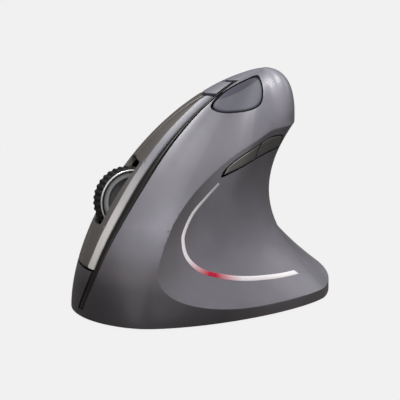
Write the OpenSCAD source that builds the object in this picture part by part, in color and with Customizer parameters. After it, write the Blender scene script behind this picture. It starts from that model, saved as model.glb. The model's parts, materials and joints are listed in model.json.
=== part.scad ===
// Vertical ergonomic mouse, right-handed, without a cord.
// The nose points along -Y, the thumb side is +X, the finger side is -X, and the mouse stands on z = 0.

/* [Body] */
// Length of the body from nose to tail
body_length = 113; // [108:1:122]
// Width of the body from the finger side to the thumb flange
body_width = 79; // [76:1:86]
// Height of the body above the table
body_height = 76; // [73:1:82]
// Wall of the shells
shell_wall = 2; // [1.6:0.1:2.4]
// Gap at the seams between shells, plates and keys
seam_gap = 0.45; // [0.35:0.05:0.6]

/* [Outline] */
// Sideways place of the foremost point of the nose
nose_x = -5.5; // [-9:0.5:-2]
// Lengthwise place of the widest point of the thumb flange
flange_y = 3; // [0:0.5:6]
// Sideways place of the rearmost point of the tail
tail_x = -7.5; // [-10:0.5:-4]
// Lengthwise place of the widest point of the finger side
side_y = -22; // [-26:1:-16]
// Sideways place of the peak
peak_x = 11.5; // [10:0.5:13]
// Lengthwise place of the peak
peak_y = 16.5; // [14:0.5:18]

/* [Thumb recess] */
// Height of the nose end of the recess
tip_height = 24; // [22:0.5:26]
// Height of the overhang above the thumb
overhang_height = 58.5; // [56:0.5:61]
// Height of the flange under the thumb
flange_height = 4.2; // [4:0.1:5]
// Depth of the recess beside the thumb keys
recess_depth = 15; // [13:0.5:17]
// How far the side of the hook is drawn in above the overhang
hook_cut = 6; // [4:0.5:7]

/* [Ridge strip] */
// Width of the gloss strip at its foot
strip_width = 2.6; // [2:0.1:3.2]
// Height of the foot of the strip
strip_foot = 3.4; // [3:0.1:4]

/* [Finger plates] */
// Height of the lower edge of the plates
plate_low = 16; // [15:0.5:18]
// Distance of the upper edge of the plates below the top of the body
plate_drop = 6; // [5:0.5:9]
// Gap between the plates and the pieces around them, which the press also needs
plate_gap = 0.75; // [0.7:0.05:0.9]
// Diameter of the pin that the plates turn on
plate_pin_d = 2; // [1.6:0.1:2.4]
// Running clearance on each side of a pin or an axle
running_clearance = 0.05; // [0.03:0.01:0.1]

/* [Scroll wheel] */
// Diameter over the tyre
wheel_d = 23.5; // [21:0.5:24]
// Width of the tyre
tyre_width = 6.4; // [5.6:0.2:7]
// How far the tyre stands out of the body
wheel_proud = 4.2; // [3.5:0.1:5]
// Number of ribs on the tyre
tyre_ribs = 36; // [24:1:48]
// Diameter of the axle
axle_d = 2.4; // [2:0.1:3]

/* [Keys] */
// Thickness of the key caps
key_cap = 2.2; // [1.8:0.1:2.6]
// How far a key is pressed
key_travel = 0.5; // [0.3:0.05:0.6]
// Width of the light guide
light_width = 1.9; // [1.4:0.1:2.2]

/* [Base] */
// Thickness of the base plate
base_thick = 1.6; // [1.4:0.1:1.8]
// Thickness of the feet, which hold the base off the table
foot_thick = 0.8; // [0.6:0.1:1]
// Diameter of a battery
battery_d = 10.5; // [10:0.1:10.5]
// Length of a battery without its nub
battery_length = 43.5; // [42:0.5:44]
// Thickness of the circuit boards
board_thick = 1.6; // [1.2:0.2:1.6]
// Diameter of the base screws
screw_d = 2; // [1.6:0.1:2.4]

/* [Hidden] */
$fn = 48;
eps = 0.01;

// Round places along the base outline: 0 nose, 1 thumb flange, 2 tail, 3 finger side, and 4 is the nose again
outline_powers = [1.5, 1.6, 2.3, 2.1];
// Fullness of the upright profile, as [place, power]
profile_keys = [[0, 1.38], [0.4, 1.33], [0.8, 1.65], [1.2, 2.5],
    [2, 1.6], [3, 1.65], [3.4, 1.75], [3.7, 1.62]];
// Places where the recess starts, where its flange is down and where its overhang is up
tip_place = 0.1;
flange_place = 0.62;
overhang_place = 1.05;
overhang_power = 2.4;
tip_half = 2.5;
// Where the overhang starts to come down towards the tail, and by how much
overhang_fall_place = 1.2;
overhang_fall = 18;
// Depth of the recess along the outline, as [place, depth]
depth_keys = [[-1, 0], [tip_place, 0], [0.6, recess_depth - 7], [1, recess_depth], [1.4, recess_depth + 12],
    [1.6, recess_depth + 3], [1.8, recess_depth - 9], [2, 0], [2.6, 0], [3.4, 0]];
// How far the hook is drawn in along the outline, as [place, depth]
hook_keys = [[-1, 0], [0.5, 0], [0.95, hook_cut], [1.5, hook_cut], [2, 0], [3.4, 0]];
// Middle of the strip along the outline, as [height, place]
strip_keys = [[3, 3.56], [12, 3.63], [24, 3.675], [38, 3.71], [60, 3.722], [body_height, 3.735]];
rear_seam = 2.4;
plate_edge = 2.8;
wheel_place = 3.4;
wheel_height = 40.3;
cap_height = body_height - 2.6;
plate_high = body_height - plate_drop;
shell_bottom = foot_thick;

// Smooth curve through keys [x, value], with each slope taken from the neighbours on either side
function key_index(x, keys, i = 0) = i >= len(keys) - 2 || x < keys[i + 1][0] ? i : key_index(x, keys, i + 1);
function key_slope(keys, a, b) = (keys[b][1] - keys[a][1]) / (keys[b][0] - keys[a][0]);
function keyed(x, keys) =
    let (i = key_index(x, keys), h = keys[i + 1][0] - keys[i][0],
        t = min(max((x - keys[i][0]) / h, 0), 1),
        m0 = key_slope(keys, max(i - 1, 0), i + 1), m1 = key_slope(keys, i, min(i + 2, len(keys) - 1)))
    keys[i][1] * (2 * t ^ 3 - 3 * t ^ 2 + 1) + m0 * h * (t ^ 3 - 2 * t ^ 2 + t)
    + keys[i + 1][1] * (3 * t ^ 2 - 2 * t ^ 3) + m1 * h * (t ^ 3 - t ^ 2);
function wrap(k) = k - 4 * floor(k / 4);
function around(k, keys) = keyed(wrap(k), [for (turn = [-4, 0, 4]) for (q = keys) [q[0] + turn, q[1]]]);
// Places counted from the finger side, so that the recess is one unbroken range
function unrolled(k) = wrap(k) > 3.2 ? wrap(k) - 4 : wrap(k);
function limit(x) = min(max(x, 0), 1);

// Base outline: four quarters of superellipses between the nose, the flange, the tail and the finger side
function outline(k) =
    let (q = floor(wrap(k)), a = (wrap(k) - q) * 90, e = 2 / outline_powers[q],
        c = abs(cos(a)) ^ e, s = abs(sin(a)) ^ e, half_l = body_length / 2, half_w = body_width / 2)
    q == 0 ? [nose_x + (half_w - nose_x) * s, flange_y - (half_l + flange_y) * c]
    : q == 1 ? [tail_x + (half_w - tail_x) * c, flange_y + (half_l - flange_y) * s]
    : q == 2 ? [tail_x - (half_w + tail_x) * s, side_y + (half_l - side_y) * c]
    : [nose_x - (half_w + nose_x) * c, side_y - (half_l + side_y) * s];

// Heights of the lower and upper edge of the recess
function quarter(s, power) = (1 - (1 - limit(s)) ^ power) ^ (1 / power);
function recess_low(k) =
    let (start = tip_height - tip_half, s = (unrolled(k) - tip_place) / (flange_place - tip_place))
    start + (flange_height - start) * quarter(s, 2);
function recess_high(k) =
    let (start = tip_height + tip_half, s = (unrolled(k) - tip_place) / (overhang_place - tip_place))
    start + (overhang_height - start) * quarter(s, overhang_power)
    - overhang_fall * limit(unrolled(k) - overhang_fall_place) ^ 2;
function recess_height(k, t) = recess_low(k) + t * (recess_high(k) - recess_low(k));

// Outer skin at a place and a height: the outline drawn in towards the peak, less the recess
function skin(k, z) =
    let (b = outline(k), e = around(k, profile_keys),
        f = limit((z - shell_bottom) / (body_height - shell_bottom)), shrink = (1 - f ^ e) ^ (1 / e),
        low = recess_low(k), high = recess_high(k), t = limit((z - low) / (high - low)),
        drawn = z > high ? (body_height - z) / (body_height - high) : t,
        dent = max(keyed(unrolled(k), depth_keys), 0) * sin(180 * t)
            + max(keyed(unrolled(k), hook_keys), 0) * drawn)
    [peak_x + (b[0] - peak_x) * shrink - dent, peak_y + (b[1] - peak_y) * shrink, z];
function unit(v) = v / norm(v);
function along(k, z) = unit(skin(k, min(z + 0.2, body_height - 0.1)) - skin(k, z - 0.2));
function outward(k, z) = unit(cross(skin(k + 0.01, z) - skin(k - 0.01, z), along(k, z)));
function inset(k, z, depth) = skin(k, z) - depth * outward(k, z);
function place_per_mm(k, z) = 0.02 / norm(skin(k + 0.01, z) - skin(k - 0.01, z));

// Ridge strip: its middle and its width, which tapers to a line near the peak
function strip_middle(z) = keyed(z, strip_keys);
function strip_half(z) = strip_width / 2 * (1 - 0.75 * limit((z - 45) / 20));
function strip_side(z, side, extra) =
    strip_middle(z) + side * (strip_half(z) + extra) * place_per_mm(strip_middle(z), z);

// Solid between two grids of points, for the cells that keep(row, column) keeps
// Walls close every open border
// A closed grid joins its last column to its first, and its top row is closed by a point on each side
function flat(grid) = [for (row = grid) for (p = row) p];
module sheet(outer, inner, keep, closed = false) {
    n = len(outer[0]);
    rows = len(outer) - 1;
    size = len(outer) * n;
    function column(i) = closed ? (i + n) % n : i;
    function kept(j, i) = j >= 0 && j < rows && column(i) >= 0
        && column(i) < (closed ? n : n - 1) && keep(j, column(i));
    quads = [for (j = [0 : rows - 1]) for (i = [0 : closed ? n - 1 : n - 2]) if (kept(j, i))
        let (a = j * n + i, b = j * n + (i + 1) % n, c = b + n, d = a + n)
        each concat([[a, d, c, b], [b + size, c + size, d + size, a + size]],
            kept(j - 1, i) ? [] : [[a, b, b + size, a + size]],
            kept(j + 1, i) || (closed && j == rows - 1) ? [] : [[c, d, d + size, c + size]],
            kept(j, i - 1) ? [] : [[d, a, a + size, d + size]],
            kept(j, i + 1) ? [] : [[b, c, c + size, b + size]])];
    top = rows * n;
    tips = closed ? [[peak_x, peak_y, body_height], [peak_x, peak_y, body_height - shell_wall]] : [];
    fans = closed ? [for (i = [0 : n - 1]) let (a = top + i, b = top + (i + 1) % n)
        each [[a, 2 * size, b], [b + size, 2 * size + 1, a + size]]] : [];
    polyhedron(concat(flat(outer), flat(inner), tips),
        concat([for (q = quads) each [[q[0], q[1], q[2]], [q[0], q[2], q[3]]]], fans), convexity = 8);
}
keep_all = function(j, i) true;
module skin_sheet(places, heights, keep, from = 0, to = shell_wall, closed = false) {
    outer = [for (j = [0 : len(heights) - 1]) [for (i = [0 : len(places[j]) - 1])
        inset(places[j][i], heights[j][i], from)]];
    inner = [for (j = [0 : len(heights) - 1]) [for (i = [0 : len(places[j]) - 1])
        inset(places[j][i], heights[j][i], to)]];
    sheet(outer, inner, keep, closed);
}
function spread(a, b, n) = [for (i = [0 : n]) a + (b - a) * i / n];

// Plug that follows the skin: a rounded patch in places and heights, as a ring of points round its middle
// The patch is [middle place, middle height, half place, half height, power]
function patch_point(patch, a, r, grow) =
    let (e = 2 / patch[4], c = cos(a), s = sin(a),
        k = patch[0] + r * patch[2] * sign(c) * abs(c) ^ e,
        z = patch[1] + r * patch[3] * sign(s) * abs(s) ^ e)
    [k + grow * c * place_per_mm(k, z), min(z + grow * s, body_height - 0.6)];
module plug(patch, grow, from, to) {
    sides = 32;
    shares = [0.2, 0.6, 1];
    spots = [for (r = shares) [for (i = [0 : sides])
        patch_point(patch, i * 360 / sides, r, r == 1 ? grow : 0)]];
    ring = [for (row = spots) [for (i = [0 : sides - 1]) row[i]]];
    count = len(ring) * sides;
    points = concat([for (row = ring) for (q = row) inset(q[0], q[1], from)],
        [for (row = ring) for (q = row) inset(q[0], q[1], to)]);
    last = (len(ring) - 1) * sides;
    cells = [for (j = [0 : len(ring) - 2]) for (i = [0 : sides - 1])
        let (a = j * sides + i, b = j * sides + (i + 1) % sides, c = b + sides, d = a + sides)
        each [[a, c, d], [a, b, c], [d + count, c + count, a + count], [c + count, b + count, a + count]]];
    middle = [[for (i = [sides - 1 : -1 : 0]) i], [for (i = [0 : sides - 1]) i + count]];
    rim = [for (i = [0 : sides - 1]) let (a = last + i, b = last + (i + 1) % sides)
        each [[a, b, b + count], [a, b + count, a + count]]];
    polyhedron(points, concat(cells, middle, rim), convexity = 4);
}
dpi_drop = 6.8;
dpi_patch = [0.2, body_height - dpi_drop, 0.42, 4.9, 2.5];
// The two thumb keys share one rounded patch in the recess, from -1 at its front end to 1 at its rear end
thumb_patch = [0.68, 0.905, 0.335, 0.05, 3.5];
thumb_end = 0.995;
thumb_split = -0.06;
module thumb_key(front, rear, grow, from, to, columns) {
    rows = 4;
    per_mm = place_per_mm(thumb_patch[0], recess_height(thumb_patch[0], thumb_patch[1]));
    half = thumb_patch[2] + grow * per_mm;
    shares = [for (a = spread(asin(front), asin(rear), columns)) sin(a)];
    function height(u, j) =
        let (side = 2 * j / rows - 1, tall = (1 - abs(u) ^ thumb_patch[4]) ^ (1 / thumb_patch[4]))
        recess_height(thumb_patch[0] + half * u, thumb_patch[1] + side * thumb_patch[3] * tall) + side * grow;
    skin_sheet([for (j = [0 : rows]) [for (u = shares) thumb_patch[0] + half * u]],
        [for (j = [0 : rows]) [for (u = shares) height(u, j)]], keep_all, from = from, to = to);
}

// Places on the skin and the frames of pieces that stand square to it
module on_skin(k, z, depth) {
    n = outward(k, z);
    f = along(k, z);
    c = cross(f, n);
    o = inset(k, z, depth);
    multmatrix([[c[0], f[0], n[0], o[0]], [c[1], f[1], n[1], o[1]], [c[2], f[2], n[2], o[2]]]) children();
}

// Light guide: a route in the recess, as [place, share of the recess height, share of the full width]
light_route = [[0.35, 0.835, 0.45], [0.28, 0.78, 0.5], [0.225, 0.71, 0.55], [0.21, 0.57, 0.6],
    [0.225, 0.47, 0.65], [0.275, 0.345, 0.8], [0.36, 0.255, 0.95], [0.46, 0.21, 1], [0.555, 0.178, 1],
    [0.65, 0.155, 1], [0.755, 0.137, 1], [0.875, 0.125, 1]];
light_steps = 33;
light_last = len(light_route) - 1;
function light_key(s, column) =
    keyed(s * light_last, [for (i = [0 : light_last]) [i, light_route[i][column]]]);
function light_spot(s) =
    let (k = light_key(s, 0), t = light_key(s, 1))
    [k, recess_height(k, t)];
function light_point(s) = let (q = light_spot(s)) skin(q[0], q[1]);
function light_side(s, side, depth, grow) =
    let (q = light_spot(s), n = outward(q[0], q[1]),
        t = unit(light_point(min(s + 0.01, 1)) - light_point(max(s - 0.01, 0))))
    inset(q[0], q[1], depth) + side * (light_width / 2 * light_key(s, 2) + grow) * unit(cross(t, n));
module light_run(from, to, grow) {
    steps = spread(0, 1, light_steps);
    sheet([for (s = steps) [for (side = [-1, 1]) light_side(s, side, from, grow)]],
        [for (s = steps) [for (side = [-1, 1]) light_side(s, side, to, grow)]], keep_all);
}
light_depth = 3.4;

// Rows of heights for the thumb side: up to the flange, the recess, the hook and the cap
thumb_groups = [3, 9, 4, 5];
foot_seam = strip_foot - seam_gap;
function thumb_height(k, j) =
    let (a = thumb_groups[0], b = a + thumb_groups[1], c = b + thumb_groups[2], d = c + thumb_groups[3],
        low = recess_low(k), high = recess_high(k))
    j == 0 ? shell_bottom
    : j <= a ? foot_seam + (low - foot_seam) * (j - 1) / (a - 1)
    : j <= b ? recess_height(k, (j - a) / (b - a))
    : j <= c ? high + (cap_height - high) * (j - b) / (c - b)
    : cap_height + (body_height - 0.02 - cap_height) * sin(90 * (j - c) / (d - c));

// Thumb side with the nose, the recess and the hook; its cap goes right round the peak
thumb_columns = 46;
cap_columns = 16;
module thumb_panel() {
    rows = thumb_groups[0] + thumb_groups[1] + thumb_groups[2] + thumb_groups[3];
    cap_row = rows - thumb_groups[3];
    right = rear_seam - seam_gap / 2 * place_per_mm(rear_seam, shell_bottom);
    // The first column runs under the foot of the strip and over its upper end
    function place(j, i) =
        let (z = thumb_height(tip_place - 0.4, j), start = strip_side(z, 1, seam_gap) - 4,
            foot = strip_side(z, -1, 0) - 4)
        i == 0 ? foot
        : i <= thumb_columns ? start + (right - start) * (i - 1) / (thumb_columns - 1)
        : right + (foot + 4 - right) * (i - thumb_columns) / cap_columns;
    columns = thumb_columns + cap_columns - 1;
    places = [for (j = [0 : rows]) [for (i = [0 : columns]) place(j, i)]];
    heights = [for (j = [0 : rows]) [for (i = [0 : columns]) thumb_height(place(j, i), j)]];
    skin_sheet(places, heights,
        function(j, i) j >= cap_row || (i < thumb_columns && (i > 0 || j == 0)), closed = true);
}
// Ledge behind the strip, which carries it
strip_inner = shell_wall - 0.4;
strip_heights = spread(strip_foot, cap_height - seam_gap, 24);
module strip_ledge() {
    places = [for (z = strip_heights)
        concat(spread(strip_side(z, -1, 0), strip_side(z, 1, 0), 2), [strip_side(z, 1, 2.4)])];
    skin_sheet(places, [for (z = strip_heights) [z, z, z, z]], keep_all,
        from = strip_inner, to = shell_wall + 1);
}
// Screw bosses that stand on the base plate, as [place, distance in from the skin, height]
// A rib joins each one to the middle of the shell's wall
boss_d = 5;
thumb_bosses = [[1.12, 7.5, 2.2], [0.03, 7.25, 5]];
palm_bosses = [[3.16, 5, 7], [2.74, 7.25, 8]];
base_top = shell_bottom + base_thick;
screw_reach = 3.4;
function plan_of(p) = [p[0], p[1]];
function boss_spot(spot) = plan_of(inset(spot[0], base_top, spot[1]));
module boss(spot) {
    middle = boss_spot(spot);
    rib = plan_of(inset(spot[0], base_top + spot[2], shell_wall / 2)) - middle;
    translate([middle[0], middle[1], base_top]) difference() {
        union() {
            cylinder(d = boss_d, h = spot[2]);
            rotate([0, 0, atan2(rib[1], rib[0])]) translate([0, -1, 0]) cube([norm(rib), 2, spot[2]]);
        }
        translate([0, 0, -1]) cylinder(d = screw_d + 2 * running_clearance, h = screw_reach + 1.2);
    }
}
// Zero sizes in the resize keep the shell as it is, and make it one faceted solid like the skin it follows
module thumb_shell() {
    color([0.5, 0.49, 0.53]) resize([0, 0, 0]) difference() {
        union() {
            thumb_panel();
            strip_ledge();
            for (spot = thumb_bosses) boss(spot);
        }
        light_run(-1, light_depth, running_clearance / 2);
        plug(dpi_patch, seam_gap / 2, -1, shell_wall + 0.8);
        thumb_key(-thumb_end, thumb_end, seam_gap / 2, -1, shell_wall + 0.8, 20);
        thumb_key(-thumb_end, thumb_end, 1, 0.8, shell_wall + 1.5, 20);
    }
}

// Finger side round the plates: the palm, the skirt under the plates and the bridge over them
palm_columns = 14;
window_columns = 8;
palm_rows = [5, 14, 2];
module palm_shell() {
    low = plate_low;
    high = plate_high;
    top = cap_height - seam_gap;
    heights = concat(spread(shell_bottom, low, palm_rows[0]),
        [for (j = [1 : palm_rows[1]]) low + (high - low) * j / palm_rows[1]],
        [for (j = [1 : palm_rows[2]]) high + (top - high) * j / palm_rows[2]]);
    function start(z) = rear_seam + seam_gap / 2 * place_per_mm(rear_seam, z);
    function edge(z) = plate_edge;
    places = [for (z = heights) concat(spread(start(z), edge(z), palm_columns),
        [for (i = [1 : window_columns])
            edge(z) + (strip_side(z, -1, seam_gap) - edge(z)) * i / window_columns])];
    last = palm_rows[0] + palm_rows[1];
    color([0.46, 0.45, 0.49]) {
        skin_sheet(places, [for (j = [0 : len(heights) - 1]) [for (q = places[j]) heights[j]]],
            function(j, i) i < palm_columns || j < palm_rows[0] || j >= last);
        for (spot = palm_bosses) boss(spot);
    }
}

module ridge_strip() {
    places = [for (z = strip_heights) spread(strip_side(z, -1, 0), strip_side(z, 1, 0), 2)];
    color([0.1, 0.1, 0.1]) skin_sheet(places, [for (z = strip_heights) [z, z, z]], keep_all,
        from = 0.2, to = strip_inner);
}

// Finger plates: skin between the wheel slot and the strip, or between the edge of the palm and the slot
slot_half = tyre_width / 2 + 2.4;
slot_rise = 10.4;
wheel_across = cross(along(wheel_place, wheel_height), outward(wheel_place, wheel_height));
// Place where the plane of the wheel cuts the skin
function slot_middle(z) =
    let (away = (skin(wheel_place, z) - skin(wheel_place, wheel_height)) * wheel_across,
        step = (skin(wheel_place + 0.01, z) - skin(wheel_place - 0.01, z)) * wheel_across)
    wheel_place - 0.02 * away / step;
function slot_side(z, side) =
    let (u = limit(abs(z - wheel_height) / slot_rise),
        half = seam_gap / 2 + (slot_half - seam_gap / 2) * (1 - u ^ 8) ^ (1 / 8))
    slot_middle(z) + side * half * place_per_mm(slot_middle(z), z);
plate_columns = 6;
module plate(left_side) {
    heights = spread(plate_low + plate_gap, plate_high - seam_gap, 26);
    places = [for (z = heights) left_side
        ? spread(slot_side(z, 1), strip_side(z, -1, plate_gap), plate_columns)
        : spread(plate_edge + plate_gap * place_per_mm(plate_edge, z), slot_side(z, -1), plate_columns)];
    skin_sheet(places, [for (j = [0 : len(heights) - 1]) [for (q = places[j]) heights[j]]], keep_all);
}

// Hinge of the plates: a pin behind their upper ends, along the skin
hinge_height = plate_high - 12;
hinge_depth = 5.4;
ear_width = 2.2;
ear_left = 3;
ear_right = -4.5;
lug_width = 2.8;
press = 0.4;
module hinge_frame() {
    on_skin(wheel_place, hinge_height, hinge_depth) children();
}
module wheel_frame() {
    on_skin(wheel_place, wheel_height, wheel_d / 2 - wheel_proud) children();
}
module across(d, length) {
    rotate([0, 90, 0]) cylinder(d = d, h = length, center = true);
}
ear_d = plate_pin_d + 2.4;
module ear(side) {
    hinge_frame() translate([side > 0 ? ear_left : ear_right, 0, 0]) {
        across(ear_d, ear_width);
        translate([-ear_width / 2, -ear_d / 2, 0]) cube([ear_width, ear_d, hinge_depth - 2.2]);
    }
}
// Place of the switches under the plates, in the frame of the wheel, and the foot of each plate above
board_top = -6.4;
switch_size = [5.8, 12.8, 6.5];
switch_nub = 0.5;
left_switch_place = [3.9, -18.6];
right_switch_place = [-3.9, -18.6];
nub_shift = 3.4;
nub_top = board_top + switch_size[2] + switch_nub;
module plate_foot(place, top) {
    wheel_frame() translate([place[0] - 1.2, place[1] + nub_shift - 1.2, nub_top + press + 0.3])
        cube([2.4, 2.4, top - nub_top - press - 0.3]);
}
module finger_plate(left_side) {
    side = left_side ? 1 : -1;
    difference() {
        union() {
            plate(left_side);
            ear(side);
            plate_foot(left_side ? left_switch_place : right_switch_place,
                left_side ? left_foot_top : right_foot_top);
        }
        hinge_frame() translate([left_side ? ear_left : ear_right, 0, 0])
            across(plate_pin_d + 2 * running_clearance, ear_width + 2);
    }
}
left_foot_top = 4.4;
right_foot_top = 4.4;
module left_button() {
    color([0.62, 0.62, 0.64]) finger_plate(true);
}
module right_button() {
    color([0.62, 0.62, 0.64]) finger_plate(false);
}
module button_pin() {
    length = ear_left - ear_right + ear_width + 1;
    color([0.75, 0.75, 0.77]) hinge_frame() translate([(ear_left + ear_right) / 2, 0, 0])
        across(plate_pin_d, length);
}

// Keys with a stem each, and the switches that the stems press
side_place = 0.66;
side_share = 0.905;
side_depth = 9.5;
stem_d = 2.6;
tact_size = [6, 6, 3.4];
tact_nub = 0.6;
function dot(a, b) = a * b;
function in_frame(p, k, z, depth) =
    let (n = outward(k, z), f = along(k, z), o = inset(k, z, depth))
    [dot(p - o, cross(f, n)), dot(p - o, f), dot(p - o, n)];
side_height = recess_height(side_place, side_share);
module side_frame() {
    on_skin(side_place, side_height, side_depth) children();
}
function key_middle(u) =
    let (k = thumb_patch[0] + u * thumb_patch[2])
    inset(k, recess_height(k, thumb_patch[1]), key_cap / 2);
forward_spot = in_frame(key_middle(-0.45), side_place, side_height, side_depth);
back_spot = in_frame(key_middle(0.5), side_place, side_height, side_depth);
module tact() {
    translate([-tact_size[0] / 2, -tact_size[1] / 2, 0]) cube(tact_size);
    cylinder(d = 3.2, h = tact_size[2] + tact_nub);
}
tact_top = tact_size[2] + tact_nub;
key_per_mm = place_per_mm(thumb_patch[0], recess_height(thumb_patch[0], thumb_patch[1]));
key_gap = seam_gap / 2 * key_per_mm / thumb_patch[2];
module side_key(front, rear, spot) {
    thumb_key(front, rear, -seam_gap / 2, 0, key_cap, 12);
    side_frame() translate([spot[0], spot[1], tact_top + key_travel + 0.3])
        cylinder(d = stem_d, h = spot[2] - tact_top - key_travel - 0.3);
}
module forward_button() {
    color([0.26, 0.26, 0.26]) side_key(0.03 - thumb_end, thumb_split - key_gap, forward_spot);
}
module back_button() {
    color([0.26, 0.26, 0.26]) side_key(thumb_split + key_gap, thumb_end - 0.07, back_spot);
}
module forward_switch() {
    color([0.15, 0.15, 0.15]) side_frame() translate([forward_spot[0], forward_spot[1], 0])
        rotate([0, 0, side_turn]) tact();
}
module back_switch() {
    color([0.15, 0.15, 0.15]) side_frame() translate([back_spot[0], back_spot[1], 0])
        rotate([0, 0, side_turn]) tact();
}
side_turn = atan2(back_spot[1] - forward_spot[1], back_spot[0] - forward_spot[0]);
side_length = norm([back_spot[0] - forward_spot[0], back_spot[1] - forward_spot[1]]) + 7.2;
module side_board() {
    color([0.1, 0.35, 0.2]) side_frame() translate([forward_spot[0], forward_spot[1], 0])
        rotate([0, 0, side_turn]) translate([-3.6, -3.6, -board_thick]) cube([side_length, 7.2, board_thick]);
}
dpi_depth = 8.5;
module dpi_frame() {
    on_skin(dpi_patch[0], dpi_patch[1], dpi_depth) children();
}
module dpi_button() {
    color([0.39, 0.39, 0.44]) {
        plug(dpi_patch, -seam_gap / 2, 0, key_cap);
        dpi_frame() translate([0, 0, tact_top + key_travel + 0.3])
            cylinder(d = stem_d, h = dpi_depth - 0.8 - tact_top - key_travel - 0.3);
    }
}
module dpi_switch() {
    color([0.15, 0.15, 0.15]) dpi_frame() tact();
}
module light_strip() {
    color([0.95, 0.9, 0.92]) light_run(0, light_depth, 0);
}

// Scroll wheel: the tyre on a hub, a bright ring on each side, and the axle in the carriage
tyre_bore = wheel_d - 5;
ring_thick = 0.8;
rib_d = 0.8;
module wheel_tyre() {
    color([0.2, 0.2, 0.2]) wheel_frame() rotate([0, 90, 0]) difference() {
        rotate_extrude($fn = 72) translate([tyre_bore / 2, -tyre_width / 2])
            polygon([[0, 0], [1.9, 0], [2.5, 0.7], [2.5, tyre_width - 0.7], [1.9, tyre_width],
                [0, tyre_width]]);
        for (i = [1 : tyre_ribs]) rotate([0, 0, i * 360 / tyre_ribs])
            translate([wheel_d / 2 + 0.1, 0, -tyre_width]) cylinder(d = rib_d, h = 2 * tyre_width, $fn = 16);
    }
}
module wheel_rims() {
    color([0.85, 0.85, 0.87]) wheel_frame() for (side = [-1, 1])
        translate([side * (tyre_width + ring_thick) / 2, 0, 0]) rotate([0, 90, 0]) difference() {
            cylinder(d = wheel_d - 1.6, h = ring_thick, center = true, $fn = 72);
            cylinder(d = wheel_d - 7, h = 2 * ring_thick, center = true, $fn = 72);
        }
}
axle_left = 6.4;
axle_right = 8.4;
module wheel_hub() {
    color([0.3, 0.3, 0.32]) wheel_frame() {
        across(tyre_bore, tyre_width);
        translate([-axle_right, 0, 0]) rotate([0, 90, 0]) cylinder(d = axle_d, h = axle_left + axle_right);
    }
}
cheek_in = tyre_width / 2 + ring_thick + 0.5;
cheek = 1.3;
carriage_half = 5.5;
floor_top = -wheel_d / 2 - 1.4;
floor_thick = 1.4;
carriage_travel = 0.5;
guide_d = 2;
guide_place = 4;
deck_top = floor_top - floor_thick - 4;
deck_thick = 2;
module wheel_carriage() {
    color([0.2, 0.2, 0.22]) wheel_frame() difference() {
        union() {
            for (side = [-1, 1])
                translate([side * (cheek_in + cheek / 2) - cheek / 2, -carriage_half, floor_top])
                cube([cheek, 2 * carriage_half, 2.2 - floor_top]);
            translate([-cheek_in - cheek, -carriage_half, floor_top - floor_thick])
                cube([2 * (cheek_in + cheek), 2 * carriage_half, floor_thick]);
            for (side = [-1, 1]) translate([side * guide_place, 0, deck_top - 1.4])
                cylinder(d = guide_d, h = floor_top - deck_top + 1);
        }
        across(axle_d + 2 * running_clearance, 40);
    }
}
module wheel_encoder() {
    color([0.1, 0.1, 0.1]) wheel_frame() difference() {
        translate([-cheek_in - cheek - 3.4, -4.5, -8]) cube([3.4, 9, 9.7]);
        across(axle_d + 2 * running_clearance, 40);
    }
}
module wheel_switch() {
    color([0.15, 0.15, 0.15]) wheel_frame() translate([0, 0, deck_top]) {
        translate([-2.2, -4, 0]) cube([4.4, 8, 2.6]);
        cylinder(d = 2.4, h = 4 - carriage_travel - 0.3);
    }
}

// Button board on posts of the bracket, with an opening for the wheel and its carriage
board_left = 9.6;
board_right = -13.2;
board_low = -26;
board_high = 13.6;
deck_low = -16;
post_d = 3;
board_posts = [[5.6, -13.7], [7.6, 11.6], [-8, -13.7], [-11.4, 11.6]];
module button_board() {
    color([0.1, 0.35, 0.2]) wheel_frame() difference() {
        translate([board_right, board_low, board_top - board_thick])
            cube([board_left - board_right, board_high - board_low, board_thick]);
        translate([-10.2, -10.6, board_top - board_thick - 1]) cube([17, 20.8, board_thick + 2]);
    }
}
module microswitch(place) {
    wheel_frame() translate([place[0], place[1], board_top]) {
        translate([-switch_size[0] / 2, -switch_size[1] / 2, 0]) cube(switch_size);
        translate([0, nub_shift, 0]) cylinder(d = 2, h = switch_size[2] + switch_nub);
    }
}
module left_switch() {
    color([0.15, 0.15, 0.17]) microswitch(left_switch_place);
}
module right_switch() {
    color([0.15, 0.15, 0.17]) microswitch(right_switch_place);
}
arm_seat = -9;
front_pad = [-17, -25];
rear_pad = [9, -4.5];
pad_size = 8;
pad_thick = 2;
module pad(spot) {
    translate([spot[0] - pad_size / 2, spot[1] - pad_size / 2, base_top])
        cube([pad_size, pad_size, pad_thick]);
}
module deck_block(x, y, width) {
    wheel_frame() translate([x - width / 2, y - 2, deck_top - deck_thick + 0.2])
        cube([width, 4, deck_thick - 0.4]);
}
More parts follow.
